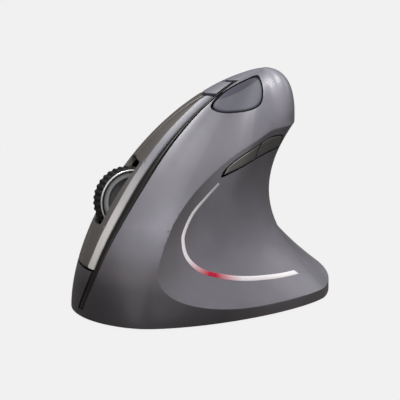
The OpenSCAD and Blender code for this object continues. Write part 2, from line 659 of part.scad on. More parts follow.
module button_bracket() {
    color([0.55, 0.56, 0.58]) difference() {
        union() {
            wheel_frame() {
                translate([board_right, deck_low, deck_top - deck_thick])
                    cube([board_left - board_right, board_high - deck_low, deck_thick]);
                for (p = board_posts) translate([p[0], p[1], deck_top - 1])
                    cylinder(d = post_d, h = board_top - board_thick - deck_top + 1);
            }
            hull() {
                deck_block(-2, deck_low + 2, 10);
                pad(front_pad);
            }
            hull() {
                deck_block(2, board_high - 3, 6);
                pad(rear_pad);
            }
            hull() {
                deck_block(-6.5, board_high - 3, 4);
                hinge_frame() translate([-1.2, -2.6, arm_seat + 0.3]) cube([2.4, 5.2, 3.2]);
            }
            hinge_frame() {
                across(ear_d, lug_width);
                translate([-lug_width / 2, -ear_d / 2, arm_seat + 1]) cube([lug_width, ear_d, -arm_seat - 1]);
                translate([-3, -3, arm_seat]) cube([6, 6, 4]);
            }
        }
        hinge_frame() across(plate_pin_d, 40);
        wheel_frame() for (side = [-1, 1]) translate([side * guide_place, 0, deck_top - 5])
            cylinder(d = guide_d + 2 * running_clearance, h = 8);
        for (p = [front_pad, rear_pad]) translate([p[0], p[1], base_top - 1]) cylinder(d = screw_d, h = 4.5);
    }
}
module side_arm() {
    color([0.55, 0.56, 0.58]) {
        hinge_frame() translate([-2.5, 3, arm_seat + 0.5]) cube([5, 2, 3]);
        hull() {
            hinge_frame() translate([-3, 4, arm_seat]) cube([6, 2, 4]);
            side_frame() translate([-4, -3, -board_thick - 2]) cube([8, 6, 2]);
        }
        hull() {
            side_frame() translate([-4, -3, -board_thick - 2]) cube([8, 6, 2]);
            dpi_frame() translate([-2, -2, -3]) cube([4, 4, 2]);
        }
        dpi_frame() translate([-3.4, -3.4, -1.2]) cube([6.8, 6.8, 1.2]);
    }
}

// Light board behind the lower run of the light guide, on a foot of its own
light_place = 0.46;
light_height = recess_height(light_place, 0.21);
led_size = [2, 1.6, 1.2];
led_count = 3;
led_pitch = 4;
led_board_thick = 1;
module light_frame() {
    on_skin(light_place, light_height, light_depth + led_size[2] + 0.5) children();
}
light_foot = [18, -27];
module led_board() {
    color([0.1, 0.35, 0.2]) {
        light_frame() translate([-7, -2, -led_board_thick]) cube([14, 4, led_board_thick]);
        hull() {
            light_frame() translate([-2, -1, -2 * led_board_thick]) cube([4, 2, led_board_thick + 0.3]);
            translate([light_foot[0] - 2, light_foot[1] - 2, base_top]) cube([4, 4, 1]);
        }
    }
}
module leds() {
    color([0.9, 0.2, 0.25]) light_frame() for (i = [0 : led_count - 1])
        translate([(i - (led_count - 1) / 2) * led_pitch - led_size[0] / 2, -led_size[1] / 2, 0])
            cube(led_size);
}

// Base plate: the outline inside the shells, open at the door, the lens, the slider and the receiver
door = [-23.5, -7.7, 22, 45];
door_gap = 0.4;
lens_spot = [3, -22];
lens_size = [10, 10];
slider_spot = [-6, 15.5 - body_length / 2];
slider_size = [3.4, 2.4];
slider_travel = 4;
slot_gap = 0.35;
receiver_spot = [9.2, 13.5];
receiver_size = [14.6, 19, 5.8];
receiver_gap = 0.35;
pocket_wall = 1.2;
board_spot = [-9, -35.2];
board_size = [21, 24];
board_under = 5.4;
board_boss_d = 3;
board_bosses = [[-7, -33], [10, -33], [-7, -13.4], [10, -13.4]];
screw_spots = concat([for (spot = concat(thumb_bosses, palm_bosses)) boss_spot(spot)], [front_pad, rear_pad]);
head_d = 3.6;
head_thick = 0.8;
module plan(x, y, width, length, low, high) {
    translate([x, y, low]) cube([width, length, high - low]);
}
module base_plate() {
    rim = [for (i = [0 : 71]) let (p = inset(i / 18, base_top, shell_wall + seam_gap)) [p[0], p[1]]];
    color([0.16, 0.16, 0.17]) difference() {
        union() {
            translate([0, 0, shell_bottom]) linear_extrude(base_thick) polygon(rim);
            for (p = board_bosses) translate([p[0], p[1], shell_bottom])
                cylinder(d = board_boss_d, h = board_under - shell_bottom);
            plan(receiver_spot[0] - receiver_size[0] / 2 - receiver_gap - pocket_wall,
                receiver_spot[1] - receiver_size[1] / 2 - receiver_gap - pocket_wall,
                receiver_size[0] + 2 * (receiver_gap + pocket_wall),
                receiver_size[1] + 2 * (receiver_gap + pocket_wall),
                base_top - 0.5, shell_bottom + receiver_size[2] + receiver_gap + pocket_wall);
        }
        plan(door[0] - door_gap, door[1] - door_gap, door[2] + 2 * door_gap, door[3] + 2 * door_gap,
            0, base_top + 1);
        plan(lens_spot[0] - 4, lens_spot[1] - 4, 8, 8, 0, base_top + 1);
        plan(slider_spot[0] - (slider_size[0] + slider_travel) / 2 - slot_gap,
            slider_spot[1] - slider_size[1] / 2 - slot_gap,
            slider_size[0] + slider_travel + 2 * slot_gap, slider_size[1] + 2 * slot_gap, 0, base_top + 1);
        plan(receiver_spot[0] - receiver_size[0] / 2 - receiver_gap,
            receiver_spot[1] - receiver_size[1] / 2 - receiver_gap,
            receiver_size[0] + 2 * receiver_gap, receiver_size[1] + 2 * receiver_gap,
            0, shell_bottom + receiver_size[2] + receiver_gap);
        for (p = screw_spots) translate([p[0], p[1], shell_bottom]) {
            translate([0, 0, -1]) cylinder(d = screw_d, h = base_thick + 2);
            translate([0, 0, -1]) cylinder(d = head_d, h = head_thick + 1);
        }
    }
}
module base_screws() {
    color([0.6, 0.6, 0.62]) for (p = screw_spots) translate([p[0], p[1], shell_bottom]) {
        cylinder(d = head_d, h = head_thick);
        cylinder(d = screw_d, h = base_thick + screw_reach);
    }
}
foot_spots = [[5, 14.5 - body_length / 2], [-26, 19.5 - body_length / 2],
    [-12, body_length / 2 - 9], [27, 19]];
foot_d = 9;
module feet() {
    color([0.08, 0.08, 0.08]) for (p = foot_spots) translate([p[0], p[1], 0])
        cylinder(d = foot_d, h = foot_thick);
}

// Main board with the sensor over its lens, and the radio chip
module main_board() {
    color([0.1, 0.35, 0.2]) difference() {
        plan(board_spot[0], board_spot[1], board_size[0], board_size[1],
            board_under, board_under + board_thick);
        plan(lens_spot[0] - 2.5, lens_spot[1] - 2.5, 5, 5, board_under - 1, board_under + board_thick + 1);
    }
}
module optical_sensor() {
    color([0.1, 0.1, 0.1]) plan(lens_spot[0] - 5, lens_spot[1] - 4.6, 10, 9.2,
        board_under + board_thick, board_under + board_thick + 2.6);
}
module sensor_lens() {
    color([0.85, 0.9, 0.95]) {
        plan(lens_spot[0] - lens_size[0] / 2, lens_spot[1] - lens_size[1] / 2, lens_size[0], lens_size[1],
            base_top, board_under);
        translate([lens_spot[0], lens_spot[1], shell_bottom + 0.4]) cylinder(d = 6, h = base_thick);
    }
}
module radio_chip() {
    color([0.12, 0.12, 0.13]) plan(-6, -17, 5, 5, board_under + board_thick, board_under + board_thick + 1);
}

// Battery bay: a tray that is open below, two cells, their springs and the bridge, and the door
cell_gap = 0.5;
tray_wall = 1;
contact_thick = 0.5;
spring_length = 2.5;
nub_length = 0.9;
cell_height = base_top + 0.5 + battery_d / 2;
bay_width = 2 * battery_d + 3 * cell_gap;
bay_length = battery_length + nub_length + spring_length + 2 * contact_thick;
bay_middle = [door[0] + door[2] / 2, door[1] + door[3] / 2];
bay_front = bay_middle[1] - bay_length / 2;
cell_front = bay_front + contact_thick + spring_length;
bay_top = cell_height + battery_d / 2 + 0.3;
function cell_x(i) = bay_middle[0] + (i == 0 ? -1 : 1) * (battery_d + cell_gap) / 2;
module battery_tray() {
    color([0.16, 0.16, 0.17]) difference() {
        plan(bay_middle[0] - bay_width / 2 - tray_wall, bay_front - tray_wall, bay_width + 2 * tray_wall,
            bay_length + 2 * tray_wall, base_top, bay_top + tray_wall);
        plan(bay_middle[0] - bay_width / 2, bay_front, bay_width, bay_length, base_top - 1, bay_top);
    }
}
module batteries() {
    color([0.75, 0.6, 0.25]) for (i = [0, 1])
    translate([cell_x(i), cell_front, cell_height]) rotate([-90, 0, 0]) {
        cylinder(d = battery_d, h = battery_length);
        cylinder(d = 3.8, h = battery_length + nub_length);
    }
}
module battery_springs() {
    color([0.7, 0.7, 0.72]) for (i = [0, 1])
    translate([cell_x(i), bay_front, cell_height]) rotate([-90, 0, 0]) {
        translate([-4, -4, 0]) cube([8, 8, contact_thick]);
        cylinder(d1 = 7, d2 = 5, h = contact_thick + spring_length);
    }
}
module battery_bridge() {
    color([0.7, 0.7, 0.72]) plan(bay_middle[0] - 9, bay_front + bay_length - contact_thick, 18, contact_thick,
        cell_height - 3.5, cell_height + 3.5);
}
module battery_door() {
    color([0.18, 0.18, 0.19]) difference() {
        plan(door[0], door[1], door[2], door[3], shell_bottom, base_top);
        for (i = [0 : 2]) plan(bay_middle[0] - 5, door[1] + 3 + 2 * i, 10, 0.8, 0, shell_bottom + 0.5);
    }
}

module power_switch() {
    color([0.12, 0.12, 0.13]) plan(slider_spot[0] - 5.5, slider_spot[1] - 2.5, 11, 5,
        base_top, base_top + 3.2);
}
module power_slider() {
    color([0.75, 0.75, 0.75]) plan(slider_spot[0] - (slider_size[0] + slider_travel) / 2,
        slider_spot[1] - slider_size[1] / 2, slider_size[0], slider_size[1],
        shell_bottom + 0.2, base_top - 0.3);
}
module receiver() {
    low = shell_bottom + 0.2;
    color([0.2, 0.2, 0.21]) {
        plan(receiver_spot[0] - receiver_size[0] / 2, receiver_spot[1] - receiver_size[1] / 2,
            receiver_size[0], 6.4, low, shell_bottom + receiver_size[2]);
        plan(receiver_spot[0] - 6, receiver_spot[1] - receiver_size[1] / 2 + 6, 12, receiver_size[1] - 6,
            low + 0.6, low + 5.1);
    }
}

thumb_shell();
palm_shell();
ridge_strip();
left_button();
right_button();
button_pin();
dpi_button();
forward_button();
back_button();
light_strip();
wheel_tyre();
wheel_rims();
wheel_hub();
wheel_carriage();
wheel_encoder();
wheel_switch();
button_bracket();
button_board();
left_switch();
right_switch();
side_arm();
side_board();
forward_switch();
back_switch();
dpi_switch();
led_board();
leds();
base_plate();
feet();
base_screws();
main_board();
optical_sensor();
sensor_lens();
radio_chip();
battery_tray();
batteries();
battery_springs();
battery_bridge();
battery_door();
power_switch();
power_slider();
receiver();
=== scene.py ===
"""Vertical mouse: smooth shells, plates, keys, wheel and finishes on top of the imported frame."""
import json
import math

import bpy
import numpy as np
from bpy.props import FloatProperty, FloatVectorProperty, IntProperty, PointerProperty
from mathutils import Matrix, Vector


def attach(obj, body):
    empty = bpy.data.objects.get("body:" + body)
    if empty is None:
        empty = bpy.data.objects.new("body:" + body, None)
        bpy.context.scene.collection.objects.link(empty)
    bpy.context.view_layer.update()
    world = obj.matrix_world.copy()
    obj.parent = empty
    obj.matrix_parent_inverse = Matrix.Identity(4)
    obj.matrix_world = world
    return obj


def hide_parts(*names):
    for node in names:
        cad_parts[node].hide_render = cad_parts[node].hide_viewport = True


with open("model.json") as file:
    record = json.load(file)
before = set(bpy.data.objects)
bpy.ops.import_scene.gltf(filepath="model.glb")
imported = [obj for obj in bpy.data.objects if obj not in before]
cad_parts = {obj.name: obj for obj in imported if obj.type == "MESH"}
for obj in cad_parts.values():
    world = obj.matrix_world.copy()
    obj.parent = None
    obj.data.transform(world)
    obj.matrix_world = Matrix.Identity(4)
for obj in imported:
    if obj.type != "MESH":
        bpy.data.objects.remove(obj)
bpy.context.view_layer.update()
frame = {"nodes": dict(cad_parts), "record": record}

bl_info = {
    "name": "Vertical Mouse",
    "version": (1, 0, 0),
    "blender": (4, 5, 0),
    "location": "View3D > Sidebar > Mouse",
    "description": "Builds the skin, keys, wheel and finishes of a vertical mouse on its frame",
    "category": "Object",
}

MM = 0.001

# The outer skin, in millimetres: places run round the base outline, 0 nose, 1 flange, 2 tail, 3 finger side
LENGTH, WIDTH, HEIGHT, LIFT = 113.0, 79.0, 76.0, 0.8
NOSE_X, FLANGE_Y, TAIL_X, SIDE_Y = -5.5, 3.0, -7.5, -22.0
PEAK = (11.5, 16.5)
POWERS = (1.5, 1.6, 2.3, 2.1)
# Power of the upright profile at each place, repeated a turn before and after so that the curve runs round
PROFILE = ((0, 1.38), (0.4, 1.33), (0.8, 1.65), (1.2, 2.5), (2, 1.6), (3, 1.65), (3.4, 1.75), (3.7, 1.62))
PROFILE_ROUND = tuple((k + turn, v) for turn in (-4, 0, 4) for k, v in PROFILE)
# Thumb recess: its tip, its lower edge on the flange, its overhang and the fall of that towards the tail
TIP_PLACE, TIP_HEIGHT, TIP_HALF = 0.1, 24.0, 2.5
FLANGE_PLACE, FLANGE_HEIGHT = 0.62, 4.2
OVER_PLACE, OVER_HEIGHT, OVER_POWER = 1.05, 58.5, 2.4
FALL_PLACE, FALL = 1.2, 18.0
# Depth of the recess and draw of the hook at each place
DEPTH = ((-1, 0), (0.1, 0), (0.6, 8), (1, 15), (1.4, 27), (1.6, 18), (1.8, 6), (2, 0), (2.6, 0), (3.4, 0))
HOOK = ((-1, 0), (0.5, 0), (0.95, 6), (1.5, 6), (2, 0), (3.4, 0))
# Step in places that slopes are taken over
NEAR = 0.01
# Upright lines that are rounded, each a place and its reach; the hook's line starts between two heights
ROUNDING = 0.035
NOSE_LINE, HOOK_LINE, REAR_LINE, HOOK_START = (0.0, 0.17), (1.0, 0.2), (1.93, 0.13), (52.0, 60.0)
# Ridge strip: its place at each height, its width, the heights where it narrows, its crown and its depth
STRIP = ((3, 3.56), (12, 3.63), (24, 3.675), (38, 3.71), (60, 3.722), (76, 3.735))
STRIP_WIDTH, STRIP_FOOT, STRIP_TAPER, STRIP_NARROWS = 2.6, 3.4, 0.75, (45.0, 65.0)
STRIP_SINK, STRIP_CROWN, STRIP_DEPTH = 0.15, 0.35, 1.6
# Seam behind the thumb shell, opening for the finger plates and foot of the cap round the peak
REAR_SEAM, PLATE_EDGE, PLATE_LOW, PLATE_HIGH, CAP_HEIGHT = 2.4, 2.8, 16.0, 70.0, 73.4
# Heights where the painted highlight on the left plate's bevel fades, how far it fades and the width of its
# start
BEVEL_FADE, BEVEL_FADED, BEVEL_START = (30.0, 54.0), 0.7, 0.15
# Scroll wheel, and the slot with its room beside the tyre
WHEEL_PLACE, WHEEL_HEIGHT, WHEEL_PROUD = 3.4, 40.3, 4.2
SLOT_RISE, SLOT_POWER, SLOT_ROOM = 10.4, 8, 2.4
# Key patches: middle, half reach, half height and power; the thumb keys' heights are shares of the recess
TOP_PLACE, TOP_HEIGHT, TOP_REACH, TOP_HALF, TOP_POWER = 0.2, 69.2, 0.42, 4.9, 2.5
THUMB_PLACE, THUMB_SHARE, THUMB_REACH, THUMB_HALF, THUMB_POWER = 0.68, 0.905, 0.335, 0.05, 3.5
THUMB_FRONT, THUMB_SPLIT, THUMB_BACK, THUMB_ROOM, KEY_DEPTH = -0.945, -0.06, 0.925, 0.02, 2.2
# Light guide: place, share of the recess and share of the full width along its route
ROUTE = ((0.35, 0.835, 0.45), (0.28, 0.78, 0.5), (0.225, 0.71, 0.55), (0.21, 0.57, 0.6), (0.225, 0.47, 0.65),
         (0.275, 0.345, 0.8), (0.36, 0.255, 0.95), (0.46, 0.21, 1), (0.555, 0.178, 1), (0.65, 0.155, 1),
         (0.755, 0.137, 1), (0.875, 0.125, 1))
GUIDE_WIDTH, GUIDE_DEPTH, GUIDE_SLANT, GUIDE_END = 1.9, 1.6, 0.9, (0.985, 1.0)
# Grid of the thumb shell: rows of the cap, columns behind the rear seam, and where the steps change
CAP_ROWS, CAP_COLUMNS, HOOK_ROW, BACK_PLACE = 16, 60, 62.0, 1.08
# Painted light and shade of the shells: the level of the plain side, the painted shade at the foot and the
# heights between them
PLAIN_SHADING, FOOT_PAINTED_SHADE, FOOT_SHADE_FADE = 0.8, 0.16, (11.0, 32.0)
# Regions of the thumb shell with painted shade at the recess tip and the face and painted light on the nose,
# hook and flange's side: a place and its reach, or a range of places or heights
TIP_PAINTED_SHADE, NOSE_PAINTED_LIGHT, HOOK_PAINTED_LIGHT, FACE_PAINTED_SHADE = (0.1, 0.16), (0.02, 0.2), (1.0, 0.25), (0.25, 0.22)
NOSE_FROM, NOSE_TO, HOOK_FROM, FACE_FROM = (12.0, 24.0), (46.0, 32.0), (56.0, 64.0), (36.0, 46.0)
FLANGE_FROM, FLANGE_TO, REAR_FADE = (0.45, 0.75), (2.3, 1.9), (1.65, 1.95)
# Rims beside the tyre: half their width, how far their edges lie inside the tyre's radius, and their power
RIM_HALF, RIM_TOP, RIM_BOTTOM, RIM_POWER = 0.4, 0.8, 3.5, 3.2


def ramp(x, start, end):
    """Straight run from 0 at the start to 1 at the end, level outside."""
    return np.clip((x - start) / (end - start), 0, 1)


def hump(x, middle, reach):
    """Bell curve of height one round a middle."""
    return np.exp(-(((x - middle) / reach) ** 2))


def grey(value):
    """Neutral colour."""
    return (value, value, value)


def keyed(x, keys):
    """Smooth curve through keys: on each span a cubic whose end slopes come from the keys on either side."""
    ks, vs = np.array(keys, float).T
    x = np.asarray(x, float)
    i = np.clip(np.searchsorted(ks, x, side="right") - 1, 0, len(ks) - 2)
    a, b = np.maximum(i - 1, 0), np.minimum(i + 2, len(ks) - 1)
    h = ks[i + 1] - ks[i]
    t = np.clip((x - ks[i]) / h, 0, 1)
    m0 = (vs[i + 1] - vs[a]) / (ks[i + 1] - ks[a])
    m1 = (vs[b] - vs[i]) / (ks[b] - ks[i])
    return (vs[i] * (2 * t**3 - 3 * t**2 + 1) + m0 * h * (t**3 - 2 * t**2 + t)
            + vs[i + 1] * (3 * t**2 - 2 * t**3) + m1 * h * (t**3 - t**2))


def unrolled(k):
    """Places counted from the finger side, so that the recess is one unbroken range."""
    k = np.mod(k, 4.0)
    return np.where(k > 3.2, k - 4, k)


def outline(k):
    """Base outline: four quarters of superellipses between nose, flange, tail and finger side."""
    k = np.mod(k, 4.0)
    q = np.clip(np.floor(k).astype(int), 0, 3)
    e = 2 / np.array(POWERS)[q]
    a = (k - q) * np.pi / 2
    c, s = np.abs(np.cos(a)) ** e, np.abs(np.sin(a)) ** e
    hl, hw = LENGTH / 2, WIDTH / 2
    x = np.choose(q, [NOSE_X + (hw - NOSE_X) * s, TAIL_X + (hw - TAIL_X) * c,
                      TAIL_X - (hw + TAIL_X) * s, NOSE_X - (hw + NOSE_X) * c])
    y = np.choose(q, [FLANGE_Y - (hl + FLANGE_Y) * c, FLANGE_Y + (hl - FLANGE_Y) * s,
                      SIDE_Y + (hl - SIDE_Y) * c, SIDE_Y - (hl + SIDE_Y) * s])
    return x, y


def quarter(s, power):
    """Quarter of a superellipse that rises from 0 to 1."""
    return (1 - (1 - np.clip(s, 0, 1)) ** power) ** (1 / power)


def recess_low(k):
    """Height of the lower edge of the thumb recess."""
    start = TIP_HEIGHT - TIP_HALF
    fall = quarter((unrolled(k) - TIP_PLACE) / (FLANGE_PLACE - TIP_PLACE), 2)
    return start + (FLANGE_HEIGHT - start) * fall


def recess_high(k):
    """Height of the upper edge of the thumb recess, which comes down again towards the tail."""
    start = TIP_HEIGHT + TIP_HALF
    rise = quarter((unrolled(k) - TIP_PLACE) / (OVER_PLACE - TIP_PLACE), OVER_POWER)
    return start + (OVER_HEIGHT - start) * rise - FALL * np.clip(unrolled(k) - FALL_PLACE, 0, 1) ** 2


def recess_height(k, share):
    """Height at a share of the way from the lower to the upper edge of the recess."""
    return recess_low(k) + share * (recess_high(k) - recess_low(k))


def sharp_skin(k, z):
    """Outer skin: the outline drawn in towards the peak by a superellipse of the height, less a half sine
    wave for the recess and a straight draw for the hook."""
    k, z = np.broadcast_arrays(np.asarray(k, float), np.asarray(z, float))
    x, y = outline(k)
    e = keyed(np.mod(k, 4.0), PROFILE_ROUND)
    f = np.clip((z - LIFT) / (HEIGHT - LIFT), 0, 1)
    shrink = (1 - f**e) ** (1 / e)
    low, high = recess_low(k), recess_high(k)
    t = np.clip((z - low) / (high - low), 0, 1)
    drawn = np.where(z > high, (HEIGHT - z) / (HEIGHT - high), t)
    place = unrolled(k)
    dent = np.maximum(keyed(place, DEPTH), 0) * np.sin(np.pi * t) + np.maximum(keyed(place, HOOK), 0) * drawn
    return np.stack([PEAK[0] + (x - PEAK[0]) * shrink - dent, PEAK[1] + (y - PEAK[1]) * shrink, z], -1)


def skin(k, z):
    """Outer skin with the upright lines at the nose, on the hook and behind the recess rounded: a weighted
    mean of nine near places."""
    u = unrolled(k)
    step = ROUNDING * (hump(u, *NOSE_LINE) + hump(u, *HOOK_LINE) * ramp(z, *HOOK_START) + hump(u, *REAR_LINE))
    return sum((5 - abs(j)) / 25 * sharp_skin(k + j * step, z) for j in range(-4, 5))


def unit(v):
    """Vectors scaled to length one."""
    return v / np.maximum(np.linalg.norm(v, axis=-1, keepdims=True), 1e-12)


def along(k, z):
    """Direction up the skin."""
    return unit(skin(k, np.minimum(z + 0.2, HEIGHT - 0.1)) - skin(k, z - 0.2))


def outward(k, z):
    """Normal of the skin."""
    return unit(np.cross(skin(k + NEAR, z) - skin(k - NEAR, z), along(k, z)))


def inset(k, z, depth):
    """Point at a depth under the skin."""
    return skin(k, z) - np.asarray(depth)[..., None] * outward(k, z)


def place_per_mm(k, z):
    """Step in places that goes one millimetre round the skin."""
    return 2 * NEAR / np.linalg.norm(skin(k + NEAR, z) - skin(k - NEAR, z), axis=-1)


def strip_side(z, side, extra):
    """Place of an edge of the ridge strip at a height, with some millimetres more to that side."""
    middle = keyed(z, STRIP)
    half = STRIP_WIDTH / 2 * (1 - STRIP_TAPER * ramp(z, *STRIP_NARROWS))
    return middle + side * (half + extra) * place_per_mm(middle, z)


def frame_on_skin(k, z, depth):
    """Origin, across, up and outward directions of a frame that stands square to the skin."""
    k, z = np.float64(k), np.float64(z)
    n, f = outward(k, z), along(k, z)
    return inset(k, z, depth), np.cross(f, n), f, n


def slot_side(z, side, half_width, gap):
    """Place of an edge of the wheel slot: the plane of the wheel cut with the skin, plus a half width that a
    superellipse brings down to half the gap at the slot's ends."""
    here, axis = frame_on_skin(WHEEL_PLACE, WHEEL_HEIGHT, 0.0)[:2]
    away = (skin(WHEEL_PLACE, z) - here) @ axis
    step = (skin(WHEEL_PLACE + NEAR, z) - skin(WHEEL_PLACE - NEAR, z)) @ axis
    middle = WHEEL_PLACE - 2 * NEAR * away / step
    u = np.clip(np.abs(z - WHEEL_HEIGHT) / SLOT_RISE, 0, 1)
    half = gap / 2 + (half_width - gap / 2) * (1 - u**SLOT_POWER) ** (1 / SLOT_POWER)
    return middle + side * half * place_per_mm(middle, z)


def ease(n, a=0.0, b=1.0):
    """n + 1 values from a to b that crowd towards both ends along a cosine."""
    return a + (b - a) * (1 - np.cos(np.pi * np.arange(n + 1) / n)) / 2


def round_over(distance, radius):
    """How far a rounded edge lies under the surface, at a distance from the edge."""
    d = np.clip(distance, 0, radius)
    return radius - np.sqrt(np.maximum(radius**2 - (radius - d) ** 2, 0))


def grid_cells(rows, columns, keep=None):
    """Quads of a grid of points, row by row, for the cells that are kept."""
    index = np.arange(rows * columns).reshape(rows, columns)
    cells = np.stack([index[:-1, :-1], index[:-1, 1:], index[1:, 1:], index[1:, :-1]], -1)
    return cells.reshape(-1, 4) if keep is None else cells[keep]


def slab(outer, inner, quads, triangles=None):
    """Closed solid between two point sets that share their cells; a wall closes each open border."""
    n = len(outer)
    triangles = np.zeros((0, 3), int) if triangles is None else triangles
    edges = np.concatenate([np.stack([quads, np.roll(quads, -1, 1)], -1).reshape(-1, 2),
                            np.stack([triangles, np.roll(triangles, -1, 1)], -1).reshape(-1, 2)])
    forward, backward = edges[:, 0] * n + edges[:, 1], edges[:, 1] * n + edges[:, 0]
    a, b = edges[~np.isin(forward, backward)].T
    walls = np.stack([b, a, a + n, b + n], -1)
    return (np.concatenate([outer, inner]), np.concatenate([quads, quads[:, ::-1] + n, walls]),
            np.concatenate([triangles, triangles[:, ::-1] + n]))


def sheet(k, z, outer_depth, inner_depth, keep=None):
    """Closed solid between two depths under the skin, over a grid of places and heights."""
    outer, inner = inset(k, z, outer_depth), inset(k, z, inner_depth)
    return slab(outer.reshape(-1, 3), inner.reshape(-1, 3), grid_cells(*k.shape, keep))


def make_object(name, points, quads, triangles=None, smooth=35.0, **attributes):
    """Mesh object from points in millimetres; unused points go, and each attribute is a value at every
    point."""
    triangles = np.zeros((0, 3), int) if triangles is None or not len(triangles) else triangles
    used, flat = np.unique(np.concatenate([quads.ravel(), triangles.ravel()]), return_inverse=True)
    mesh = bpy.data.meshes.new(name)
    mesh.vertices.add(len(used))
    mesh.vertices.foreach_set("co", (points[used] * MM).astype(np.float32).ravel())
    mesh.loops.add(len(flat))
    mesh.loops.foreach_set("vertex_index", flat.astype(np.int32).ravel())
    starts = np.concatenate([np.arange(len(quads)) * 4, len(quads) * 4 + np.arange(len(triangles)) * 3])
    mesh.polygons.add(len(starts))
    mesh.polygons.foreach_set("loop_start", starts.astype(np.int32))
    for key, values in attributes.items():
        mesh.attributes.new(key, "FLOAT", "POINT").data.foreach_set("value", values[used].astype(np.float32))
    mesh.update(calc_edges=True)
    mesh.validate()
    mesh.shade_smooth()
    mesh.set_sharp_from_angle(angle=math.radians(smooth))
    obj = bpy.data.objects.new(name, mesh)
    bpy.context.scene.collection.objects.link(obj)
    return obj


def place_piece(obj, body, node, material):
    """Puts a new piece on its body in place of its node and its material."""
    obj.data.materials.append(material)
    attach(obj, body)
    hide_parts(node)


def top_field(k, z, grow):
    """Place and height as shares of the top key's patch, grown by some millimetres, and the patch's power."""
    reach = TOP_REACH + grow * place_per_mm(np.float64(TOP_PLACE), np.float64(TOP_HEIGHT))
    return np.abs((k - TOP_PLACE) / reach), np.abs((z - TOP_HEIGHT) / (TOP_HALF + grow)), TOP_POWER


def thumb_field(k, z, grow):
    """The same for the patch of the two thumb keys, whose heights are shares of the recess."""
    middle = recess_height(THUMB_PLACE, THUMB_SHARE)
    reach = THUMB_REACH + grow * place_per_mm(np.float64(THUMB_PLACE), middle)
    half = THUMB_HALF * (recess_high(k) - recess_low(k)) + grow
    return np.abs((k - THUMB_PLACE) / reach), np.abs((z - recess_height(k, THUMB_SHARE)) / half), THUMB_POWER


def distance_to(field, k, z, grow):
    """Signed distance to a window's edge in millimetres, and the step to it in places and in millimetres."""
    def level(kk, zz):
        u, v, p = field(kk, zz, grow)
        return (u**p + v**p) ** (1 / p) - 1
    per = place_per_mm(k, z)
    f = level(k, z)
    gk = (level(k + 0.1 * per, z) - level(k - 0.1 * per, z)) / 0.2
    gz = (level(k, z + 0.1) - level(k, z - 0.1)) / 0.2
    size = np.maximum(gk**2 + gz**2, 1e-6)
    return f / np.sqrt(size), f * gk / size * per, f * gz / size


def cut_windows(k, z, cells, fields, grow, near):
    """Moves the points near each window's edge onto it and drops the cells inside; a cell with one corner
    inside keeps its other three."""
    most_k, most_z = 0.03, 0.6
    inside = np.zeros(k.shape, bool)
    for field in fields:
        d, dk, dz = distance_to(field, k, z, grow)
        snap = (np.abs(d) < near) & (np.abs(dk) < most_k) & (np.abs(dz) < most_z)
        for _ in range(3):
            k = np.where(snap, k - np.clip(dk, -most_k, most_k), k)
            z = np.where(snap, z - np.clip(dz, -most_z, most_z), z)
            dk, dz = distance_to(field, k, z, grow)[1:]
        inside |= (d < 0) & ~snap
    corners = inside[cells]
    count = corners.sum(1)
    one = cells[count == 1]
    first = corners[count == 1].argmax(1)
    order = (first[:, None] + np.array([1, 2, 3])) % 4
    return k, z, cells[count == 0], np.take_along_axis(one, order, 1)


def shape():
    """Settings of the pieces, in millimetres."""
    s = bpy.context.scene.mouse_shape
    keys = ("wall", "seam", "plate_gap", "edge_radius", "bevel_width", "bevel_depth", "wheel_d", "tyre_width")
    return {key: getattr(s, key) / MM for key in keys}


class MouseShape(bpy.types.PropertyGroup):
    """Sizes of the visible pieces."""

    wall: FloatProperty(name="Wall", description="Thickness of the shells", default=0.002, unit="LENGTH")
    seam: FloatProperty(name="Seam", description="Gap between neighbouring pieces", default=0.00045,
                        unit="LENGTH")
    plate_gap: FloatProperty(name="Plate gap", description="Gap round the finger plates", default=0.00075,
                             unit="LENGTH")
    edge_radius: FloatProperty(name="Edge radius", description="Rounding of plates and keys", default=0.0006,
                               unit="LENGTH")
    bevel_width: FloatProperty(name="Bevel width", description="Width of the left plate's bevel",
                               default=0.0026, unit="LENGTH")
    bevel_depth: FloatProperty(name="Bevel depth", description="Depth of the left plate's bevel",
                               default=0.0009, unit="LENGTH")
    wheel_d: FloatProperty(name="Wheel", description="Diameter of the scroll wheel", default=0.0235,
                           unit="LENGTH")
    tyre_width: FloatProperty(name="Tyre width", description="Width of the tyre", default=0.0064,
                              unit="LENGTH")
    ribs: IntProperty(name="Ribs", description="Number of ribs round the tyre", default=36)


class MouseLook(bpy.types.PropertyGroup):
    """Colours of the main finishes."""

    shell: FloatVectorProperty(name="Shell", description="Colour of the shells", subtype="COLOR", size=3,
                               default=(0.155, 0.148, 0.172))
    plate: FloatVectorProperty(name="Plate", description="Colour of the finger plates", subtype="COLOR",
                               size=3, default=(0.088, 0.08, 0.075))
    key: FloatVectorProperty(name="Key", description="Colour of the thumb keys", subtype="COLOR", size=3,
                             default=(0.09, 0.086, 0.081))
    top_key: FloatVectorProperty(name="Top key", description="Colour of the top key", subtype="COLOR", size=3,
                                 default=(0.095, 0.095, 0.118))
    lit: FloatVectorProperty(name="Lit", description="Colour of the lit guide", subtype="COLOR", size=3,
                             default=(0.62, 0.59, 0.605))
    red: FloatVectorProperty(name="Red", description="Colour of the guide over its lamps", subtype="COLOR",
                             size=3, default=(0.4, 0.012, 0.038))


class MouseStage(bpy.types.PropertyGroup):
    """Camera and light."""

    azimuth: FloatProperty(name="Azimuth", description="Camera's turn round the object", subtype="ANGLE",
                           default=math.radians(23))
    elevation: FloatProperty(name="Elevation", description="Camera's height above the horizon",
                             subtype="ANGLE", default=math.radians(14))
    distance: FloatProperty(name="Distance", description="Camera's distance", default=1.0, unit="LENGTH")
    target: FloatProperty(name="Target height", description="Height that the camera looks at", default=0.032,
                          unit="LENGTH")
    lens: FloatProperty(name="Lens", description="Focal length for a sensor 36 mm wide", default=262.8)
    shift: FloatProperty(name="Shift", description="Sideways shift of the frame", default=-0.0335)


